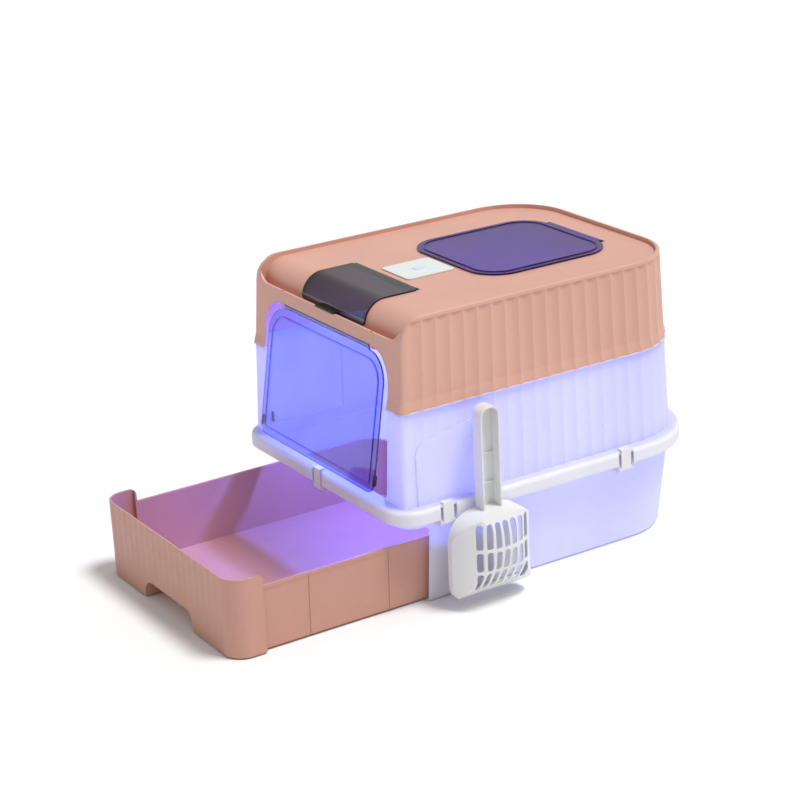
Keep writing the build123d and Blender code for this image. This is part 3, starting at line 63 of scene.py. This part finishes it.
KEY_RING_RADIUS = 0.0118
KEY_RING_TOP = 0.00035  # crest of the ring above the lamp's plate
KEY_RING_SHOULDER = 0.0002  # height of its shoulders
KEY_RING_SUNK = 0.0002  # depth of its foot in the plate
KEY_RING_SPREAD = 0.6  # the shoulders' place between crest and foot
KEY_RING_SEGMENTS = 72
GLOW_GAP = 0.0015  # from the lamp's housing down to its light
GLOW_INSET = 0.008  # how much smaller the light is than the lens

FLOOR_DROP = 0.0004
AIM_POINT = (0, -0.1, 0.15)
KEY_PLACE = (0.8, 0.6, 2.7)
BACK_PLACE = (-2.4, 1.6, 1.3)
BACK_SIZE = 2.0
SENSOR_WIDTH = 36.0  # millimetres
CLIP_NEAR = 0.05
CLIP_FAR = 60.0
CAMERA_PLACE = (2.4684, -1.6446, 1.2854)
CAMERA_RIGHT = (0.5391, 0.8410, -0.0465)
CAMERA_BACK = (0.7983, -0.4925, 0.3467)


def linear(red, green, blue):
    """A scene colour from 0-255 screen values."""
    return tuple(
        c / 12.92 if c <= 0.04045 else ((c + 0.055) / 1.055) ** 2.4
        for c in (red / 255, green / 255, blue / 255)
    )


# ---- what a user would change ----
class FinishSettings(PropertyGroup):
    """Colours and surface values of the litter box's own finishes."""

    blush: FloatVectorProperty(
        name="Blush Plastic", description="Colour of the hood",
        default=linear(216, 165, 148), size=3, subtype="COLOR", min=0, max=1,
    )
    drawer_blush: FloatVectorProperty(
        name="Drawer Plastic", description="Colour of the litter drawer",
        default=linear(198, 147, 127), size=3, subtype="COLOR", min=0, max=1,
    )
    frost: FloatVectorProperty(
        name="Frosted Plastic", description="Colour of the translucent ring and tub",
        default=linear(244, 243, 250), size=3, subtype="COLOR", min=0, max=1,
    )
    frost_glow: FloatProperty(
        name="Frost Glow", description="How much light passes through the frosted walls",
        default=0.5, min=0.0, max=1.0, subtype="FACTOR",
    )
    white: FloatVectorProperty(
        name="White Plastic", description="Colour of the scoop, its hook and the latches",
        default=linear(243, 243, 242), size=3, subtype="COLOR", min=0, max=1,
    )
    panel_tint: FloatVectorProperty(
        name="Door Tint", description="Tint of the swing door",
        default=linear(168, 174, 234), size=3, subtype="COLOR", min=0, max=1,
    )
    lid_tint: FloatVectorProperty(
        name="Lid Tint", description="Tint of the top lid",
        default=linear(132, 84, 196), size=3, subtype="COLOR", min=0, max=1,
    )
    smoke_tint: FloatVectorProperty(
        name="Window Tint", description="Tint of the curved window",
        default=linear(90, 82, 60), size=3, subtype="COLOR", min=0, max=1,
    )
    panel_edge: FloatProperty(
        name="Panel Edge", description="Width of the darker edges of the clear panels",
        default=0.0022, min=0.0, max=0.005, unit="LENGTH",
    )
    edge_softness: FloatProperty(
        name="Edge Softness", description="Rounding of moulded edges in the shading",
        default=0.0005, min=0.0, max=0.003, unit="LENGTH",
    )


class LampSettings(PropertyGroup):
    """The glow from the lamp unit."""

    glow: FloatVectorProperty(
        name="Glow", description="Colour of the light from the lamp unit",
        default=(0.125, 0.175, 1.0), size=3, subtype="COLOR", min=0, max=1,
    )
    power: FloatProperty(
        name="Power", description="Power of the light from the lamp unit",
        default=5.2, min=0.0, max=100.0, unit="POWER",
    )
    ring_width: FloatProperty(
        name="Key Ring Width", description="Width of the raised ring's slope on each side",
        default=0.0011, min=0.0002, max=0.003, unit="LENGTH",
    )


class StageSettings(PropertyGroup):
    """The plain studio: lights, floor and camera."""

    key_strength: FloatProperty(
        name="Key Light", description="Strength of the soft light above",
        default=2.3, min=0.0, max=50.0,
    )
    key_softness: FloatProperty(
        name="Key Softness", description="Angle of the light above",
        default=0.3, min=0.0, max=3.0, unit="ROTATION",
    )
    back_power: FloatProperty(
        name="Back Light",
        description="Power of the panel behind, which gives the deck its sheen",
        default=1.2, min=0.0, max=500.0, unit="POWER",
    )
    room_light: FloatProperty(
        name="Room Light", description="Brightness of the pale room",
        default=0.5, min=0.0, max=5.0,
    )
    floor_size: FloatProperty(
        name="Floor Size", description="Side of the square floor",
        default=60.0, min=1.0, max=200.0, unit="LENGTH",
    )
    lens: FloatProperty(
        name="Lens", description="Focal length of the camera",
        default=101.57, min=10.0, max=300.0, unit="CAMERA",
    )


# ---- small helpers for node trees ----
def put(tree, kind, inputs=None, **settings):
    """Adds a node. inputs maps a socket's name or number to a value or to another socket."""
    node = tree.nodes.new(kind)
    for key, value in settings.items():
        setattr(node, key, value)
    for key, value in (inputs or {}).items():
        if isinstance(value, bpy.types.NodeSocket):
            tree.links.new(value, node.inputs[key])
        else:
            node.inputs[key].default_value = value
    return node


def blank(name):
    """An empty material and its node tree."""
    material = bpy.data.materials.new(name)
    material.use_nodes = True
    material.node_tree.nodes.clear()
    return material, material.node_tree


def principled(tree, inputs):
    """The main surface shader, from its inputs."""
    return put(tree, "ShaderNodeBsdfPrincipled", inputs).outputs["BSDF"]


def finish_tree(tree, surface):
    """Ends a material's tree with its surface."""
    put(tree, "ShaderNodeOutputMaterial", {"Surface": surface})


def place(tree, scale=(1, 1, 1)):
    """Coordinates in the piece's own frame, in metres, stretched by scale."""
    where = put(tree, "ShaderNodeTexCoord").outputs["Object"]
    return put(tree, "ShaderNodeMapping", {"Vector": where, "Scale": scale}).outputs["Vector"]


def noise(tree, vector, scale, detail=2.0, roughness=0.5):
    """A cloudy pattern from about 0 to 1."""
    inputs = {"Vector": vector, "Scale": scale, "Detail": detail, "Roughness": roughness}
    return put(tree, "ShaderNodeTexNoise", inputs).outputs["Fac"]


def ramp(tree, factor, stops):
    """A colour ramp from (place, colour) stops."""
    node = put(tree, "ShaderNodeValToRGB", {"Fac": factor})
    elements = node.color_ramp.elements
    while len(elements) < len(stops):
        elements.new(0.5)
    for element, (spot, colour) in zip(elements, stops):
        element.position = spot
        element.color = (*colour, 1)
    return node.outputs["Color"]


def between(tree, factor, low, high, start=0.3, end=0.7):
    """A value that goes from low to high as the pattern goes from start to end."""
    inputs = {"Value": factor, "From Min": start, "From Max": end, "To Min": low, "To Max": high}
    return put(tree, "ShaderNodeMapRange", inputs).outputs["Result"]


def scaled(colour, by):
    """A colour made lighter or darker."""
    return tuple(min(c * by, 1.0) for c in colour)


def soft_edges(tree, radius):
    """Normals that round the edges over the radius."""
    inputs = {"Radius": radius}
    return put(tree, "ShaderNodeBevel", inputs, samples=BEVEL_SAMPLES).outputs["Normal"]


def bumped(tree, height, distance, strength, normal):
    """Normals with a pattern raised on them."""
    inputs = {"Height": height, "Distance": distance, "Strength": strength, "Normal": normal}
    return put(tree, "ShaderNodeBump", inputs).outputs["Normal"]


# ---- finishes ----
def moulded_plastic(
    name, colour, roughness, variation, radius, grain,
    through=0.0, flow=(1, 1, 1), thick_below=None,
):
    """Satin injection-moulded plastic: slow colour drift along the melt's flow, an even
    spark-eroded grain, and roughness that wanders a little. through is the share of light
    that passes the wall. Less passes below the height thick_below."""
    material, tree = blank(name)
    drift = noise(tree, place(tree, flow), scale=9.0, detail=3.0)
    darker = scaled(colour, 1 - variation)
    lighter = scaled(colour, 1 + variation)
    base = ramp(tree, drift, [(0.32, darker), (0.5, colour), (0.7, lighter)])
    handled = noise(tree, place(tree), scale=38.0, detail=4.0, roughness=0.6)
    sheen = between(tree, handled, low=roughness - 0.05, high=roughness + 0.07)
    pits = noise(tree, place(tree), scale=2200.0, detail=2.0)
    normal = bumped(
        tree, pits, distance=GRAIN_DEPTH, strength=grain, normal=soft_edges(tree, radius)
    )
    surface = principled(
        tree, {"Base Color": base, "Roughness": sheen, "Normal": normal, "IOR": PLASTIC_IOR}
    )
    if through:
        milky = put(tree, "ShaderNodeBsdfTranslucent", {"Color": base, "Normal": normal})
        share = through
        if thick_below:
            height = put(tree, "ShaderNodeSeparateXYZ", {0: place(tree)}).outputs["Z"]
            share = between(
                tree, height, low=through * BEAD_SHARE, high=through,
                start=thick_below - BEAD_FADE, end=thick_below,
            )
        surface = put(
            tree, "ShaderNodeMixShader", {0: share, 1: surface, 2: milky.outputs["BSDF"]}
        ).outputs["Shader"]
    finish_tree(tree, surface)
    return material


def edge_mask(tree, radius):
    """Goes to 1 along a moulding's edges, by how far a rounded normal leans from the true one."""
    true = put(tree, "ShaderNodeNewGeometry").outputs["True Normal"]
    lean = put(
        tree,
        "ShaderNodeVectorMath",
        {0: soft_edges(tree, radius), 1: true},
        operation="DOT_PRODUCT",
    ).outputs["Value"]
    return between(tree, lean, low=1.0, high=0.0, start=0.72, end=0.98)


def clear_plastic(name, tint, edge_shade_tint, edge_width, roughness):
    """Tinted clear plastic, which colours what shows through it and the light that passes.
    Its edges are darker, as light goes a longer way through them."""
    material, tree = blank(name)
    wiped = noise(tree, place(tree, (1, 1, 2.5)), scale=60.0, detail=4.0, roughness=0.6)
    haze = between(tree, wiped, low=roughness * 0.4, high=roughness * 1.6)
    depth = noise(tree, place(tree), scale=14.0)
    middle = ramp(tree, depth, [(0.35, scaled(tint, 0.94)), (0.65, tint)])
    # Painted shade: the edges get a darker colour, standing in for the longer way light goes
    # through the plastic there.
    body = put(
        tree,
        "ShaderNodeMix",
        {0: edge_mask(tree, edge_width), 6: middle, 7: (*edge_shade_tint, 1)},
        data_type="RGBA",
    ).outputs[2]
    shader = principled(
        tree,
        {
            "Base Color": body,
            "Roughness": haze,
            "IOR": PLASTIC_IOR,
            "Transmission Weight": 1.0,
        },
    )
    through = put(tree, "ShaderNodeBsdfTransparent", {"Color": (*tint, 1)})
    shadow = put(tree, "ShaderNodeLightPath").outputs["Is Shadow Ray"]
    mixed = put(
        tree, "ShaderNodeMixShader", {0: shadow, 1: shader, 2: through.outputs["BSDF"]}
    )
    finish_tree(tree, mixed.outputs["Shader"])
    return material


def drawn_wire():
    """Bright drawn steel with fine lines along the wire."""
    material, tree = blank("bright_steel_wire")
    lines = noise(tree, place(tree, (40, 3000, 3000)), scale=1.0, detail=3.0)
    colour = ramp(tree, lines, [(0.3, linear(150, 152, 156)), (0.7, linear(205, 206, 210))])
    surface = principled(
        tree,
        {
            "Base Color": colour,
            "Metallic": 1.0,
            "Roughness": between(tree, lines, low=0.22, high=0.4),
        },
    )
    finish_tree(tree, surface)
    return material


def coated_magnet():
    """Black coated magnet with greyer specks where the coating is worn."""
    material, tree = blank("black_coated_magnet")
    specks = noise(tree, place(tree), scale=900.0, detail=4.0)
    colour = ramp(tree, specks, [(0.45, linear(22, 22, 30)), (0.75, linear(70, 72, 84))])
    surface = principled(
        tree,
        {
            "Base Color": colour,
            "Roughness": between(tree, specks, low=0.25, high=0.5),
            "Normal": soft_edges(tree, SMALL_EDGE),
        },
    )
    finish_tree(tree, surface)
    return material


def green_board():
    """Green solder mask with fainter copper runs in a brick-like grid."""
    material, tree = blank("green_circuit_board")
    runs = put(
        tree, "ShaderNodeTexBrick", {"Vector": place(tree), "Scale": 260.0, "Mortar Size": 0.09}
    ).outputs["Fac"]
    colour = ramp(tree, runs, [(0.2, linear(18, 84, 44)), (0.8, linear(44, 128, 70))])
    surface = principled(
        tree,
        {
            "Base Color": colour,
            "Roughness": between(tree, runs, low=0.25, high=0.38, start=0, end=1),
        },
    )
    finish_tree(tree, surface)
    return material


def foil_pouch():
    """Crinkled aluminium foil of a flat cell."""
    material, tree = blank("foil_pouch")
    creases = noise(tree, place(tree), scale=260.0, detail=5.0, roughness=0.6)
    colour = ramp(tree, creases, [(0.3, linear(150, 154, 158)), (0.7, linear(208, 210, 214))])
    surface = principled(
        tree,
        {
            "Base Color": colour,
            "Metallic": 0.9,
            "Roughness": between(tree, creases, low=0.25, high=0.45),
            "Normal": bumped(
                tree, creases, distance=CREASE_DEPTH, strength=0.5,
                normal=soft_edges(tree, SMALL_EDGE),
            ),
        },
    )
    finish_tree(tree, surface)
    return material


def lit_lens(name, colour, strength):
    """A milky diffuser that glows evenly."""
    material, tree = blank(name)
    milk = noise(tree, place(tree), scale=120.0, detail=2.0)
    body = ramp(tree, milk, [(0.3, linear(196, 192, 240)), (0.7, linear(226, 224, 250))])
    surface = principled(
        tree,
        {
            "Base Color": body,
            "Roughness": between(tree, milk, low=0.35, high=0.5),
            "Emission Color": (*colour, 1),
            "Emission Strength": strength,
        },
    )
    finish_tree(tree, surface)
    return material


def studio_paint():
    """The stage's matt paper, with a trace of fibre."""
    material, tree = blank("studio_paper")
    fibre = noise(tree, place(tree), scale=500.0, detail=3.0)
    colour = ramp(tree, fibre, [(0.3, linear(243, 243, 243)), (0.7, linear(247, 247, 247))])
    finish_tree(tree, principled(tree, {"Base Color": colour, "Roughness": 0.9}))
    return material


def coat(nodes, material):
    """Gives CAD nodes a finish of their own."""
    for name in nodes:
        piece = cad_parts[name]
        for slot in piece.material_slots:
            slot.link = "OBJECT"
            slot.material = material


# ---- small helpers for objects ----
def add_object(name, data):
    """Puts a mesh, light or camera in the scene as an object."""
    item = bpy.data.objects.new(name, data)
    bpy.context.scene.collection.objects.link(item)
    return item


def lathe(name, profile, segments, centre):
    """A ring turned round a vertical axis from (radius, height) points."""
    mesh = bmesh.new()
    loops = []
    for step in range(segments):
        angle = math.tau * step / segments
        loops.append(
            [
                mesh.verts.new(centre + Vector((r * math.cos(angle), r * math.sin(angle), z)))
                for r, z in profile
            ]
        )
    for this, following in zip(loops, loops[1:] + loops[:1]):
        for a in range(len(profile)):
            b = (a + 1) % len(profile)
            mesh.faces.new((this[a], following[a], following[b], this[b]))
    bmesh.ops.recalc_face_normals(mesh, faces=mesh.faces)
    data = bpy.data.meshes.new(name)
    mesh.to_mesh(data)
    mesh.free()
    for face in data.polygons:
        face.use_smooth = True
    return add_object(name, data)


# ---- operators, one for each group of pieces ----
class LITTERBOX_OT_hood(Operator):
    """Finish the fluted hood in satin blush plastic"""

    bl_idname = "litterbox.hood"
    bl_label = "Hood"

    def execute(self, context):
        finish = context.scene.litterbox_finish
        plastic = moulded_plastic(
            "hood_blush_plastic", finish.blush, roughness=0.42, variation=0.035,
            radius=finish.edge_softness, grain=0.10, flow=(1, 1, 0.35),
        )
        coat(["hood"], plastic)
        return {"FINISHED"}


class LITTERBOX_OT_walls(Operator):
    """Finish the ring and the tub in frosted plastic"""

    bl_idname = "litterbox.walls"
    bl_label = "Ring and Tub"

    def execute(self, context):
        finish = context.scene.litterbox_finish
        ring = moulded_plastic(
            "ring_frosted_plastic", finish.frost, roughness=0.36, variation=0.02,
            radius=finish.edge_softness, grain=0.08, through=finish.frost_glow,
            flow=(1, 1, 0.3), thick_below=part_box("middle_ring")[0].z + BEAD_HEIGHT,
        )
        tub = moulded_plastic(
            "tub_frosted_plastic", finish.frost, roughness=0.40, variation=0.02,
            radius=finish.edge_softness, grain=0.12, through=finish.frost_glow * TUB_SHARE,
            flow=(1, 1, 0.3),
        )
        coat(["middle_ring"], ring)
        coat(["base_tub"], tub)
        return {"FINISHED"}


class LITTERBOX_OT_drawer(Operator):
    """Finish the litter drawer"""

    bl_idname = "litterbox.drawer"
    bl_label = "Litter Drawer"

    def execute(self, context):
        finish = context.scene.litterbox_finish
        plastic = moulded_plastic(
            "drawer_blush_plastic", finish.drawer_blush, roughness=0.45, variation=0.04,
            radius=finish.edge_softness, grain=0.14, flow=(0.6, 0.6, 0.3),
        )
        coat(["drawer"], plastic)
        return {"FINISHED"}


class LITTERBOX_OT_panels(Operator):
    """Finish the swing door, the window and the lid in tinted clear plastic"""

    bl_idname = "litterbox.panels"
    bl_label = "Door, Window and Lid"

    def execute(self, context):
        finish = context.scene.litterbox_finish
        width = finish.panel_edge
        # Painted edge shade: the darker colours painted along each clear panel's edges.
        door_edge_shade = linear(40, 22, 104)
        lid_edge_shade = linear(50, 44, 56)
        window_edge_shade = linear(40, 34, 32)
        door = clear_plastic(
            "door_clear_plastic", finish.panel_tint, door_edge_shade, width, roughness=0.03
        )
        lid = clear_plastic("lid_clear_plastic", finish.lid_tint, lid_edge_shade, width, roughness=0.03)
        window = clear_plastic(
            "window_smoky_plastic", finish.smoke_tint, window_edge_shade, width, roughness=0.025
        )
        coat(["entry_door"], door)
        coat(["top_lid"], lid)
        coat(["front_window"], window)
        return {"FINISHED"}


class LITTERBOX_OT_hardware(Operator):
    """Finish the hinge rods and the magnets"""

    bl_idname = "litterbox.hardware"
    bl_label = "Rods and Magnets"

    def execute(self, context):
        coat(["door_hinge_rod", "window_hinge_rod", "lid_hinge_rod"], drawn_wire())
        coat(
            ["door_magnet_left", "door_magnet_right", "frame_magnet_left", "frame_magnet_right"],
            coated_magnet(),
        )
        return {"FINISHED"}


class LITTERBOX_OT_latches(Operator):
    """Finish the rim latches"""

    bl_idname = "litterbox.latches"
    bl_label = "Rim Latches"

    def execute(self, context):
        finish = context.scene.litterbox_finish
        plastic = moulded_plastic(
            "latch_white_plastic", finish.white, roughness=0.34, variation=0.02,
            radius=finish.edge_softness, grain=0.06, through=0.12,
        )
        coat([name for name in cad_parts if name.startswith("latch_")], plastic)
        return {"FINISHED"}


class LITTERBOX_OT_scoop(Operator):
    """Finish the scoop and its hook"""

    bl_idname = "litterbox.scoop"
    bl_label = "Scoop and Hook"

    def execute(self, context):
        finish = context.scene.litterbox_finish
        plastic = moulded_plastic(
            "scoop_white_plastic", scaled(finish.white, 0.98), roughness=0.38, variation=0.025,
            radius=finish.edge_softness, grain=0.10, through=0.12,
        )
        coat(["scoop", "scoop_hook"], plastic)
        return {"FINISHED"}


class LITTERBOX_OT_lamp(Operator):
    """Finish the lamp unit, add the ring round its key and light it"""

    bl_idname = "litterbox.lamp"
    bl_label = "Lamp Unit"

    def execute(self, context):
        finish = context.scene.litterbox_finish
        lamp = context.scene.litterbox_lamp
        shell = moulded_plastic(
            "lamp_white_plastic", linear(236, 242, 240), roughness=0.26, variation=0.015,
            radius=finish.edge_softness, grain=0.04, through=0.1,
        )
        coat(["lamp_cover", "lamp_housing"], shell)
        key = moulded_plastic(
            "lamp_key_plastic", linear(206, 222, 240), roughness=0.22, variation=0.03,
            radius=SMALL_EDGE, grain=0.03,
        )
        coat(["lamp_button"], key)
        coat(["lamp_lens"], lit_lens("lamp_diffuser", lamp.glow, strength=6.0))
        coat(["lamp_leds"], lit_lens("lamp_emitters", lamp.glow, strength=12.0))
        coat(["lamp_board"], green_board())
        coat(["lamp_battery"], foil_pouch())
        dark = moulded_plastic(
            "switch_black_plastic", linear(40, 40, 42), roughness=0.4, variation=0.1,
            radius=FINE_EDGE, grain=0.05,
        )
        coat(["lamp_switch"], dark)
        coat(["lamp_charge_socket", "lamp_screws"], drawn_wire())
        self.key_ring(lamp)
        self.glow(lamp)
        return {"FINISHED"}

    def key_ring(self, lamp):
        """Adds the raised ring round the key."""
        low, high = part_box("lamp_button")
        cover_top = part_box("lamp_cover")[1].z
        centre = Vector(((low.x + high.x) / 2, (low.y + high.y) / 2, cover_top))
        foot = lamp.ring_width
        shoulder = lamp.ring_width * KEY_RING_SPREAD
        profile = [
            (KEY_RING_RADIUS - foot, -KEY_RING_SUNK),
            (KEY_RING_RADIUS - shoulder, KEY_RING_SHOULDER),
            (KEY_RING_RADIUS, KEY_RING_TOP),
            (KEY_RING_RADIUS + shoulder, KEY_RING_SHOULDER),
            (KEY_RING_RADIUS + foot, -KEY_RING_SUNK),
        ]
        piece = lathe("lamp_key_ring", profile, KEY_RING_SEGMENTS, centre)
        piece.data.materials.append(
            moulded_plastic(
                "lamp_ring_plastic", linear(222, 232, 238), roughness=0.3, variation=0.02,
                radius=FINE_EDGE, grain=0.03,
            )
        )
        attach(piece, "lamp_unit")

    def glow(self, lamp):
        """Lights the inside from under the lamp's lens."""
        low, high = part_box("lamp_lens")
        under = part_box("lamp_housing")[0].z - GLOW_GAP
        data = bpy.data.lights.new("lamp_glow", "AREA")
        data.shape = "RECTANGLE"
        data.size = high.x - low.x - GLOW_INSET
        data.size_y = high.y - low.y - GLOW_INSET
        data.energy = lamp.power
        data.color = lamp.glow
        light = add_object("lamp_glow", data)
        light.location = ((low.x + high.x) / 2, (low.y + high.y) / 2, under)


class LITTERBOX_OT_stage(Operator):
    """Build the pale studio: floor, lights, room and camera"""

    bl_idname = "litterbox.stage"
    bl_label = "Studio Stage"

    def execute(self, context):
        stage = context.scene.litterbox_stage
        self.floor(stage)
        self.lights(stage)
        self.room(context, stage)
        self.camera(context, stage)
        return {"FINISHED"}

    def floor(self, stage):
        """Lays the floor just under the litter box."""
        half = stage.floor_size / 2
        mesh = bmesh.new()
        corners = [(-half, -half), (half, -half), (half, half), (-half, half)]
        mesh.faces.new([mesh.verts.new((x, y, -FLOOR_DROP)) for x, y in corners])
        data = bpy.data.meshes.new("studio_floor")
        mesh.to_mesh(data)
        mesh.free()
        data.materials.append(studio_paint())
        floor = add_object("studio_floor", data)

    def lights(self, stage):
        """Adds the soft light above and the panel behind."""
        key = bpy.data.lights.new("studio_key", "SUN")
        key.energy = stage.key_strength
        key.angle = stage.key_softness
        self.aim("studio_key", key, KEY_PLACE)
        back = bpy.data.lights.new("studio_back", "AREA")
        back.energy = stage.back_power
        back.size = BACK_SIZE
        self.aim("studio_back", back, BACK_PLACE)

    def aim(self, name, data, where):
        """Places a light and turns it to the litter box."""
        light = add_object(name, data)
        light.location = where
        beam = Vector(AIM_POINT) - Vector(where)
        light.rotation_mode = "QUATERNION"
        light.rotation_quaternion = beam.to_track_quat("-Z", "Y")

    def room(self, context, stage):
        """Surrounds the stage with an even pale light."""
        world = bpy.data.worlds.new("pale_room")
        world.use_nodes = True
        tree = world.node_tree
        tree.nodes.clear()
        back = put(
            tree,
            "ShaderNodeBackground",
            {"Color": (*linear(250, 250, 250), 1), "Strength": stage.room_light},
        )
        put(tree, "ShaderNodeOutputWorld", {"Surface": back.outputs["Background"]})
        context.scene.world = world
        context.scene.view_settings.view_transform = "Standard"

    def camera(self, context, stage):
        """Sets the camera at the photograph's viewpoint."""
        data = bpy.data.cameras.new("studio_camera")
        data.sensor_width = SENSOR_WIDTH
        data.lens = stage.lens
        data.clip_start = CLIP_NEAR
        data.clip_end = CLIP_FAR
        right = Vector(CAMERA_RIGHT).normalized()
        back = Vector(CAMERA_BACK).normalized()
        up = back.cross(right).normalized()
        right = up.cross(back).normalized()
        turn = Matrix((right, up, back)).transposed().to_4x4()
        camera = add_object("studio_camera", data)
        camera.matrix_world = Matrix.Translation(CAMERA_PLACE) @ turn
        context.scene.camera = camera


STEPS = (
    LITTERBOX_OT_hood,
    LITTERBOX_OT_walls,
    LITTERBOX_OT_drawer,
    LITTERBOX_OT_panels,
    LITTERBOX_OT_hardware,
    LITTERBOX_OT_latches,
    LITTERBOX_OT_scoop,
    LITTERBOX_OT_lamp,
    LITTERBOX_OT_stage,
)


class LITTERBOX_PT_panel(Panel):
    """Lists the pieces of the litter box"""

    bl_idname = "LITTERBOX_PT_panel"
    bl_label = "Drawer Litter Box"
    bl_space_type = "VIEW_3D"
    bl_region_type = "UI"
    bl_category = "Litter Box"

    def draw(self, context):
        for step in STEPS:
            self.layout.operator(step.bl_idname, text=step.bl_label)


CLASSES = (FinishSettings, LampSettings, StageSettings, *STEPS, LITTERBOX_PT_panel)


def register():
    for item in CLASSES:
        bpy.utils.register_class(item)
    bpy.types.Scene.litterbox_finish = PointerProperty(type=FinishSettings)
    bpy.types.Scene.litterbox_lamp = PointerProperty(type=LampSettings)
    bpy.types.Scene.litterbox_stage = PointerProperty(type=StageSettings)


def unregister():
    del bpy.types.Scene.litterbox_finish
    del bpy.types.Scene.litterbox_lamp
    del bpy.types.Scene.litterbox_stage
    for item in reversed(CLASSES):
        bpy.utils.unregister_class(item)


def main():
    register()
    for step in STEPS:
        group, name = step.bl_idname.split(".")
        getattr(getattr(bpy.ops, group), name)()


if __name__ == "__main__":
    main()
